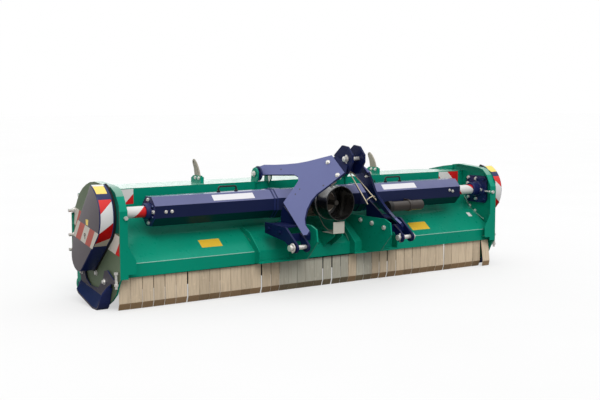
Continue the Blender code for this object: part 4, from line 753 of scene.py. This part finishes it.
def make_sleeve(side, tag):
    """Sleeve with slanting stripes that run round it."""
    low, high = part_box(f"shaft_sleeve_{tag}")
    shape = bmesh.new()
    layer = shape.loops.layers.uv.verify()
    radius, wall = 0.035, 0.004
    profile = ((low.x, radius - wall), (low.x, radius), (high.x, radius), (high.x, radius - wall))
    centre = Vector((0.0, SHAFT_Y, SHAFT_Z))
    add_turned(shape, profile, centre, X_AXIS, 48)
    edge, pitch = (1.318, 0.234) if side < 0 else (1.291, 0.278)
    for face in shape.faces:
        middle = face.calc_center_median() - centre
        lean = atan2(middle.z, -middle.y)
        for loop in face.loops:
            p = loop.vert.co - centre
            angle = atan2(p.z, -p.y)
            angle += 2.0 * pi * round((lean - angle) / (2.0 * pi))
            loop[layer].uv = ((p.x * side - edge) / pitch + 0.5, angle * 0.036 / pitch)
    node = f"shaft_sleeve_{tag}"
    piece(f"striped_sleeve_{tag}", shape, stripes, nodes[node]["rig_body"], [node], 0.0008, 30.0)


def casing_face(face):
    """Top, upper slant, front and lower slant of the eight-sided casings, and their other faces; the top and
    upper slant get painted sky reflection, the front and lower slant painted shade.
    """
    if face.normal.z > 0.9:
        return 4
    if face.normal.y > -0.3:
        return 0
    return 1 if face.normal.z > 0.4 else 3 if face.normal.z < -0.4 else 2


BEARING_BOLTS = (
    (0.218, 0.656), (0.14, 0.652), (0.226, 0.612), (0.218, 0.507), (0.137, 0.502), (0.085, 0.572))
LOWER_PLATE_BOLTS = ((0.211, 0.442), (0.156, 0.409))
REAR_BOLT_HEIGHTS = (0.31, 0.403, 0.556)
FRONT_BOLTS = ((-1.168, 0.575), (-1.128, 0.575), (1.135, 0.589), (1.165, 0.581))


def make_casings():
    """Casings with bolts, collars and bare plates, and the bearings at their outer ends."""
    faces = [blue, casing_upper, casing_front, casing_lower, casing_top]
    for tag in ("left", "right"):
        rounded(f"shaft_casing_{tag}", f"painted_casing_{tag}", faces, 0.002, casing_face)
        rounded(f"bearing_plate_{tag}", f"painted_bearing_plate_{tag}", blue, 0.0015)
        rounded(f"casing_handle_{tag}", f"moulded_handle_{tag}", plastic, 0.0008)
    shape = bmesh.new()
    for i in range(4):
        a = radians(90.0 * i)
        place = (-CASING_END, SHAFT_Y + 0.07 * cos(a), SHAFT_Z + 0.07 * sin(a))
        add_bolt(shape, place, -X_AXIS, 0.019)
    both_sides(shape)
    for x, z in FRONT_BOLTS:
        add_bolt(shape, (x, SHAFT_Y - CASING_HALF, z), -Y_AXIS, 0.015)
    piece("casing_bolts", shape, zinc)
    shape = bmesh.new()
    boss = ((0.0, 0.0355), (0.0, 0.053), (0.024, 0.051), (0.032, 0.045), (0.032, 0.0355))
    add_turned(shape, boss, (-1.24, SHAFT_Y, SHAFT_Z), -X_AXIS, 40)
    piece("casing_end_boss", shape, blue, bevel=0.001)
    shape = bmesh.new()
    step = radians(45.0)
    for x0, x1, reach in ((0.347, 0.366, 0.0035), (0.38, 0.39, 0.003)):
        outer = (CASING_HALF + reach) / cos(step / 2.0)
        turns = [step * (k + 0.5) for k in range(8)]
        ring = [(SHAFT_Y + outer * cos(a), SHAFT_Z + outer * sin(a)) for a in turns]
        add_prism(shape, ring, -x0, -x1)
    both_sides(shape)
    piece("casing_collars", shape, blue, bevel=0.001)
    normal = Vector((0.0, -1.0, 1.0)).normalized()
    up = Vector((0.0, 1.0, 1.0)).normalized()
    for tag, x0, x1 in (("left", -0.83, -0.528), ("right", 0.528, 0.83)):
        shape = bmesh.new()
        middle = Vector(((x0 + x1) / 2.0, SHAFT_Y, SHAFT_Z)) + normal * 0.0903
        add_slab(shape, middle, (X_AXIS, up, normal), (x1 - x0, 0.046, 0.001))
        piece(f"casing_plate_{tag}", shape, bare_plate, bevel=0.0004)
    bolt_piece("bearing_plate_bolts", [((-1.4905, y, z), X_AXIS, 0.021) for y, z in BEARING_BOLTS]
               + [((-1.503, y, z), X_AXIS, 0.017) for y, z in LOWER_PLATE_BOLTS])
    shape = bmesh.new()
    ring = ((0.0, 0.0365), (0.0, 0.046), (0.004, 0.05), (0.058, 0.052), (0.062, 0.06), (0.068, 0.06),
            (0.068, 0.0365))
    add_turned(shape, ring, (-1.425, SHAFT_Y, SHAFT_Z), -X_AXIS, 40)
    both_sides(shape)
    piece("bearing_housings", shape, blue, bevel=0.001)
    rear = [(PLATE_SIDE, 0.616, z) for z in REAR_BOLT_HEIGHTS]
    bolt_piece("end_plate_bolts", [(seat, -X_AXIS, 0.027, 0.026) for seat in rear])


# Head and hitch

HEAD_LOW = Vector((-0.4, -0.28, 0.4))
ALONG = Vector((0.312, -0.95, 0.0)).normalized()
UP = Vector((0.565, 0.186, 0.804)).normalized()
OUT = Vector((-0.763, -0.251, 0.595)).normalized()
HEAD_BOLTS = ((-0.023, 0.544), (0.091, 0.452))
HEAD_HOLES = ((-0.373, 0.473), (-0.173, 0.293), (-0.156, 0.332), (0.015, 0.37))
HEAD_SLOT = ((0.074, 0.376), (0.103, 0.402))


def head_point(u, v, off=0.0):
    """A place on the left side plate, by distances along it, up it and out of it."""
    return HEAD_LOW + ALONG * u + UP * v + OUT * off


def side_plate_face(face):
    """The upward outer faces of the side plates, which get the painted sky reflection."""
    return 1 if face.normal.z > 0.45 and abs(face.normal.x) > 0.6 else 0


def make_head():
    """Side plates, clevises, their bolts, and the plugged holes in the side plates."""
    for tag in ("left", "right"):
        rounded(f"headstock_{tag}", f"painted_side_plate_{tag}", [blue, lilac], 0.002, side_plate_face)
        rounded(f"lower_clevis_{tag}", f"painted_lower_clevis_{tag}", clevis_blue, 0.002)
    rounded("top_clevis", "painted_top_clevis", clevis_blue, 0.002)
    bolts = []
    for u, v in HEAD_BOLTS:
        bolts += [(head_point(u, v, 0.0152), OUT, 0.022), (head_point(u, v, -0.0002), -OUT, 0.024, 0.01)]
    bolt_piece("head_bolts", bolts)
    shape = bmesh.new()
    for u, v in HEAD_HOLES:
        add_drum(shape, head_point(u, v, 0.0145), OUT, 0.005, 0.0012, 14)
    first, last = [head_point(u, v, 0.0145) for u, v in HEAD_SLOT]
    slot = last - first
    along = slot.normalized()
    add_slab(shape, (first + last) / 2.0, (along, OUT.cross(along), OUT), (slot.length, 0.01, 0.0024))
    both_sides(shape)
    piece("head_hole_plugs", shape, dark_steel)


def link_pin(name, node, centre, half, radius, faces):
    """Link pin with a round head, a turned handle loop and a linchpin with its ring."""
    shape = bmesh.new()
    x, y, z = centre
    profile = ((-half - 0.004, 0.0), (-half, radius - 0.002), (-half + 0.004, radius), (half - 0.004, radius),
               (half, radius - 0.002), (half + 0.002, 0.0))
    add_turned(shape, profile, centre, X_AXIS, 28)
    bmesh.ops.remove_doubles(shape, verts=shape.verts, dist=0.00001)
    piece(name, shape, zinc, "frame", [node], 0.0, 32.0)
    shape = bmesh.new()
    tail = x - half + 0.012
    add_drum(shape, (tail, y, z + radius + 0.012), -Z_AXIS, 0.0042, 2.0 * radius + 0.03, 12)
    add_drum(shape, (tail, y, z + radius + 0.004), Z_AXIS, 0.0085, 0.01, 16)
    loop = [(tail + 0.001, y + 0.026 * sin(a), z + radius + 0.012 - 0.026 * (1 - cos(a)))
            for a in [2.0 * pi * i / 28 for i in range(29)]]
    add_wire(shape, loop, 0.0036, 8)
    knob = ((-0.014, 0.0), (-0.012, radius * 1.35), (0.004, radius * 1.35), (0.004, radius - 0.001))
    add_turned(shape, knob, (x - half, y, z), X_AXIS, 28)
    washer = ((-0.0018, radius), (0.0018, radius), (0.0018, radius * 1.75), (-0.0018, radius * 1.75))
    for face in faces:
        add_turned(shape, washer, (face, y, z), X_AXIS, 28)
    piece(name + "_linchpin", shape, zinc)


def make_hitch():
    """The three link pins, as long as their nodes."""
    for tag in ("left", "right"):
        low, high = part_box(f"lower_link_pin_{tag}")
        centre = ((low.x + high.x) / 2.0, -0.305, 0.34)
        half = (high.x - low.x) / 2.0 - 0.001
        link_pin(f"turned_lower_pin_{tag}", f"lower_link_pin_{tag}", centre, half, 0.014,
                 (centre[0] - 0.0512, centre[0] + 0.0512))
    low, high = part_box("top_link_pin")
    centre = ((low.x + high.x) / 2.0, -0.28, 0.872)
    half = (high.x - low.x) / 2.0 - 0.001
    link_pin("turned_top_pin", "top_link_pin", centre, half, 0.0125, (-0.0562, 0.0562))


# Deck, beam and welded brackets

LIP_TOP = 0.289
DECK_RISE, DECK_RUN = 0.109, 0.145 # slope of the deck sheet behind the lip
SKID_BOLTS = ((0.472, 0.19), (0.142, 0.172))
BRACKET_BOLTS = ((0.01, 0.432), (-0.112, 0.422), (-0.239, 0.404))
SHELF_BOLTS = ((-0.43, -0.06), (-0.395, -0.11))
LIP_EDGES = ((-1.44, -0.57), (0.57, 1.44))


def beam_face(face):
    """The flat top, which gets the painted sky highlight, and the plated pins of the headstock arms."""
    place = face.calc_center_median() - SHIFT
    if (place.yz - ARM_PIN).length < 0.016 and 0.24 < abs(place.x) < 0.4:
        return 2
    return 1 if face.normal.z > 0.9 and 0.69 < place.z < 0.72 else 0


def skid_part(face):
    """Side face in grey-purple painted reflection, sloping wear flange and plated bolts of a skid."""
    place = face.calc_center_median() - SHIFT
    across = abs(place.x)
    if abs(across - 1.53) < 0.015 and abs(place.y + 0.02) < 0.015 and 0.14 < place.z < 0.26:
        return 3
    if across > 1.5335 and min((place.yz - Vector(b)).length for b in SKID_BOLTS) < 0.014:
        return 3
    if abs(face.normal.x) > 0.9:
        return 1
    return 2 if across > 1.534 and face.normal.z > 0.3 else 0


def make_frame():
    """Deck, beam, gearbox, skids and tensioners, with their bolts, weld beads, films and pins."""
    rounded("deck", "painted_deck", green, 0.0015)
    rounded("box_beam", "painted_beam", [green, sky_highlight_green, zinc], 0.003, beam_face)
    rounded("gearbox", "painted_gearbox", brown_casting, 0.004)
    rounded("guard_bracket", "plated_guard_bracket", pale_plate, 0.001)
    for tag in ("left", "right"):
        rounded(f"hood_horn_{tag}", f"cut_horn_{tag}", steel, 0.0015)
        rounded(f"skid_{tag}", f"painted_skid_{tag}", [blue, skid_face, wear_blue, zinc], 0.0025, skid_part)
        rounded(f"belt_tensioner_{tag}", f"plated_tensioner_{tag}", zinc, 0.0006)
    bolt_piece("bracket_bolts", [((-0.2915, y, z), X_AXIS, 0.024) for y, z in BRACKET_BOLTS]
               + [((x, y, 0.45), -Z_AXIS, 0.019) for x, y in SHELF_BOLTS])
    beads = bmesh.new()
    for x in (0.19, 0.56):
        for shift in (-0.0055, 0.0055):
            at = -x + shift
            add_bead(beads, [(at, 0.004, 0.3), (at, 0.041, 0.346), (at, 0.15, 0.396)], 0.003)
    both_sides(beads)
    add_bead(beads, [(-1.497, 0.052, 0.35), (-1.497, 0.191, 0.413), (-1.497, 0.273, 0.517)], 0.003)
    add_bead(beads, [(1.495, 0.052, 0.351), (1.495, 0.191, 0.415), (1.495, 0.272, 0.519)], 0.006)
    # The beads take the lighter green: a painted highlight along the seams.
    piece("weld_beads", beads, sky_highlight_green, smooth=60.0)
    # A thin pale green bar along the lip's top edge: a painted highlight.
    shape = bmesh.new()
    for x0, x1 in LIP_EDGES:
        add_drum(shape, (x0, 0.0022, LIP_TOP - 0.0022), X_AXIS, 0.003, x1 - x0, 16)
    piece("lip_edge_sheen", shape, edge_green)
    shape = bmesh.new()
    for x, y in ((1.436, 0.474), (1.464, 0.454)):
        add_bolt(shape, (x, y, 0.7048), Z_AXIS, 0.02, washer=False)
    add_box(shape, (0.711, 0.52, BEAM_TOP), (0.745, 0.542, 0.716))
    piece("beam_top_studs", shape, green, bevel=0.001)
    shape = bmesh.new()
    add_drum(shape, (-0.3445, *ARM_PIN), -X_AXIS, 0.05, 0.01, 40)
    both_sides(shape)
    piece("arm_end_discs", shape, blue, bevel=0.001)
    bolt_piece("arm_pin_heads", [((-0.382, *ARM_PIN), -X_AXIS, 0.028)])
    slope = Vector((0.0, DECK_RUN, DECK_RISE)).normalized()
    above = X_AXIS.cross(slope)
    rise = DECK_RISE / DECK_RUN
    for name, x0, x1, y0, y1, made_of in (("deck_film_left", -0.914, -0.766, 0.06, 0.114, deck_film),
                                          ("deck_film_right", 0.786, 0.948, 0.042, 0.103, deck_film),
                                          ("deck_film_white", 1.398, 1.432, 0.112, 0.146, white_film)):
        shape = bmesh.new()
        middle = Vector(((x0 + x1) / 2.0, (y0 + y1) / 2.0, LIP_TOP + rise * (y0 + y1) / 2.0)) + above * 0.0004
        add_slab(shape, middle, (X_AXIS, slope, above), (x1 - x0, (y1 - y0) / slope.y, 0.0008))
        piece(name, shape, made_of, bevel=0.0003)
    flat_film("beam_band", [(-1.455, 0.608), (-1.455, 0.7), (-1.26, 0.7), (-1.26, 0.608)],
              0.2998, stripes, 0.234, -1.0, -1.93, facing="Y")


# Guard, cable, tube, rest

HORN_X, CHEEK_SHEET = 0.735, 0.006 # a horn's middle, and the thickness of the cheeks beside it
REST_WIRE = ((-0.03, -0.47, 0.598), (-0.03, -0.268, 0.799), (0.03, -0.247, 0.772), (0.03, -0.479, 0.621))
CABLE_PATH = (
    (-0.1202, -0.045, 0.5624), (-0.1193, -0.055, 0.5238), (-0.1085, -0.068, 0.4811),
    (-0.0922, -0.088, 0.4301), (-0.0724, -0.104, 0.4034), (-0.0543, -0.118, 0.397),
    (-0.0325, -0.13, 0.4072))


def make_middle():
    """Guard, clamp, gearbox flange, cable, tube, parking rest, and the horns' and skids' bolts."""
    shape = bmesh.new()
    centre = (0.0, 0.0, SHAFT_Z)
    add_turned(shape, (
        (-0.15, 0.1075), (-0.15, 0.112), (-0.146, 0.1135), (-0.138, 0.1135), (-0.135, 0.112),
        (-0.04, 0.112), (-0.036, 0.115), (-0.022, 0.115), (-0.018, 0.112), (0.03, 0.112),
        (0.036, 0.108), (0.04, 0.08), (0.035, 0.08), (0.031, 0.104), (0.026, 0.1075)), centre, Y_AXIS, 72)
    piece("moulded_guard", shape, glossy_plastic, "frame", ["pto_guard"], 0.0, 30.0)
    shape = bmesh.new()
    strap = ((-0.034, 0.1151), (-0.024, 0.1151), (-0.024, 0.1165), (-0.034, 0.1165))
    add_turned(shape, strap, centre, Y_AXIS, 72)
    add_box(shape, (-0.012, -0.036, 0.6895), (0.012, -0.022, 0.7015))
    piece("guard_clamp", shape, zinc, bevel=0.0004)
    shape = bmesh.new()
    add_turned(shape, ((0.02, 0.03), (0.02, 0.078), (0.036, 0.078), (0.036, 0.03)), centre, Y_AXIS, 40)
    piece("gearbox_flange", shape, flange_casting, bevel=0.001)
    rounded("input_shaft", "splined_input_shaft", dark_steel, 0.0)
    shape = bmesh.new()
    add_wire(shape, rounded_path(CABLE_PATH, 0.012, 3), 0.0017, 8)
    piece("hanging_guard_cable", shape, cable_steel, "frame", ["guard_cable"], 0.0, 60.0)
    turns = [radians(45.0 * i + 22.5) for i in range(8)]
    places = [(0.066 * cos(a), 0.0202, SHAFT_Z + 0.066 * sin(a)) for a in turns]
    bolt_piece("gearbox_flange_bolts", [(place, -Y_AXIS, 0.015) for place in places], False)
    rounded("tool_tube", "moulded_tool_tube", tube_plastic, 0.001)
    rounded("tube_cap", "moulded_tube_cap", plastic, 0.001)
    shape = bmesh.new()
    add_wire(shape, rounded_path(REST_WIRE, 0.01), 0.0036, 12)
    left, right = [Vector(REST_WIRE[i]).lerp(Vector(REST_WIRE[j]), 0.92) for i, j in ((1, 0), (2, 3))]
    arch = []
    for i in range(13):
        turn = pi * i / 12.0
        lift = Vector((0.0, -0.55, 0.83)) * 0.024 * sin(turn)
        arch.append((left + right) / 2.0 + (left - right) / 2.0 * cos(turn) + lift)
    add_wire(shape, arch, 0.0034, 12)
    piece("bent_parking_rest", shape, yellow_zinc, nodes["parking_rest"]["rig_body"], ["parking_rest"],
          0.0, 50.0)
    cheek = 0.0053 + CHEEK_SHEET
    bolts = []
    for y in (0.392, 0.438):
        bolts += [((-HORN_X + cheek, y, 0.738), X_AXIS, 0.017, 0.004),
                  ((-HORN_X - cheek, y, 0.738), -X_AXIS, 0.017)]
    bolt_piece("horn_bolts", bolts)
    shape = bmesh.new()
    for y, z in SKID_BOLTS:
        add_drum(shape, (-1.5328, y, z), -X_AXIS, 0.0175, 0.003, 24)
    for y, z in ((0.385, 0.225), (0.295, 0.202)):
        add_bolt(shape, (-1.515, y, z), -X_AXIS, 0.022)
    both_sides(shape)
    piece("skid_bolts", shape, zinc)


def make_rest_of_nodes():
    """Every node that isn't replaced yet keeps its shape, with broken edges and its own finish."""
    for name, node in sorted(nodes.items()):
        if not node.hide_render:
            turned = any(word in name for word in ("shaft", "rotor", "roller", "rod", "cable"))
            rounded(name, "finished_" + name, None, 0.0 if turned else 0.001, smooth=40.0)


# Floor and light

SKY_LOW, SKY_TOP, SKY_BEHIND = 0.35, 1.4, 2.2  # at the horizon, overhead, behind the mower
SUN_STRENGTH, SUN_SPREAD = 1.5, 40.0
SUN_HEADING = Vector((0.3, 0.75, -0.8))
FLOOR_GLOW, FLOOR_GLOW_SHARE = 0.97, 0.55  # keep the floor white for the camera
FLOOR_BOUNCE = (0.24, 0.24, 0.24, 1.0)  # the floor's colour for all other rays


def make_floor():
    """Pale floor that takes the mower's shadow; rays other than the camera's see it darker."""
    shape = bmesh.new()
    bmesh.ops.create_grid(shape, x_segments=2, y_segments=2, size=60.0)
    mesh = bpy.data.meshes.new("floor")
    shape.to_mesh(mesh)
    shape.free()
    pale = Finish("pale_floor")
    pale.link(pale.mix(pale.span(pale.noise(0.8), 0.0, 1.0), (0.71, 0.71, 0.71), (0.73, 0.73, 0.73)),
              pale.shader.inputs["Base Color"])
    fill(pale.shader, {"Roughness": 0.9, "Specular IOR Level": 0.0})
    bright = pale.add("ShaderNodeEmission", {"Strength": FLOOR_GLOW})
    lit = pale.add("ShaderNodeMixShader")
    lit.inputs[0].default_value = FLOOR_GLOW_SHARE
    pale.link(pale.shader.outputs[0], lit.inputs[1])
    pale.link(bright.outputs[0], lit.inputs[2])
    dull = pale.add("ShaderNodeBsdfDiffuse", {"Color": FLOOR_BOUNCE})
    pale.by_camera(dull, lit, pale.tree.nodes["Material Output"])
    mesh.materials.append(pale.material)
    floor = add_object("floor", mesh)
    floor.location = (0.0, 0.0, -0.0005)


def make_sky():
    """Sky that is brighter overhead and behind the mower, plain white for the camera, and a soft sun."""
    world = bpy.data.worlds.new("sky")
    scene.world = world
    world.use_nodes = True
    world.node_tree.nodes.clear()
    sky = Nodes(world.node_tree)
    split = sky.add("ShaderNodeSeparateXYZ")
    sky.link(sky.coords.outputs["Generated"], split.inputs[0])
    height = sky.maths("MAXIMUM", split.outputs["Z"], 0.0)
    behind = sky.maths("MAXIMUM", split.outputs["Y"], 0.0)
    fading = sky.maths("POWER", sky.maths("SUBTRACT", 1.0, height), 4.0)
    glow = sky.maths("MULTIPLY", sky.maths("MULTIPLY", behind, behind), fading)
    overhead = sky.maths("ADD", sky.maths("MULTIPLY", height, SKY_TOP - SKY_LOW), SKY_LOW)
    white = {"Color": (1.0, 1.0, 1.0, 1.0), "Strength": 1.0}
    light, plain = sky.add("ShaderNodeBackground", white), sky.add("ShaderNodeBackground", white)
    sky.link(sky.maths("ADD", overhead, sky.maths("MULTIPLY", glow, SKY_BEHIND)), light.inputs["Strength"])
    sky.by_camera(light, plain, sky.add("ShaderNodeOutputWorld"))
    lamp = bpy.data.lights.new("soft_sun", "SUN")
    lamp.energy = SUN_STRENGTH
    lamp.angle = radians(SUN_SPREAD)
    sun = add_object("soft_sun", lamp)
    sun.rotation_mode = "QUATERNION"
    sun.rotation_quaternion = SUN_HEADING.to_track_quat("-Z", "Y")


make_flaps()
for side, tag in ((-1, "left"), (1, "right")):
    make_cover(side, tag)
    make_sleeve(side, tag)
make_rim_films()
make_end_plates()
make_casings()
make_head()
make_hitch()
make_frame()
make_middle()
make_rest_of_nodes()
make_floor()
make_sky()
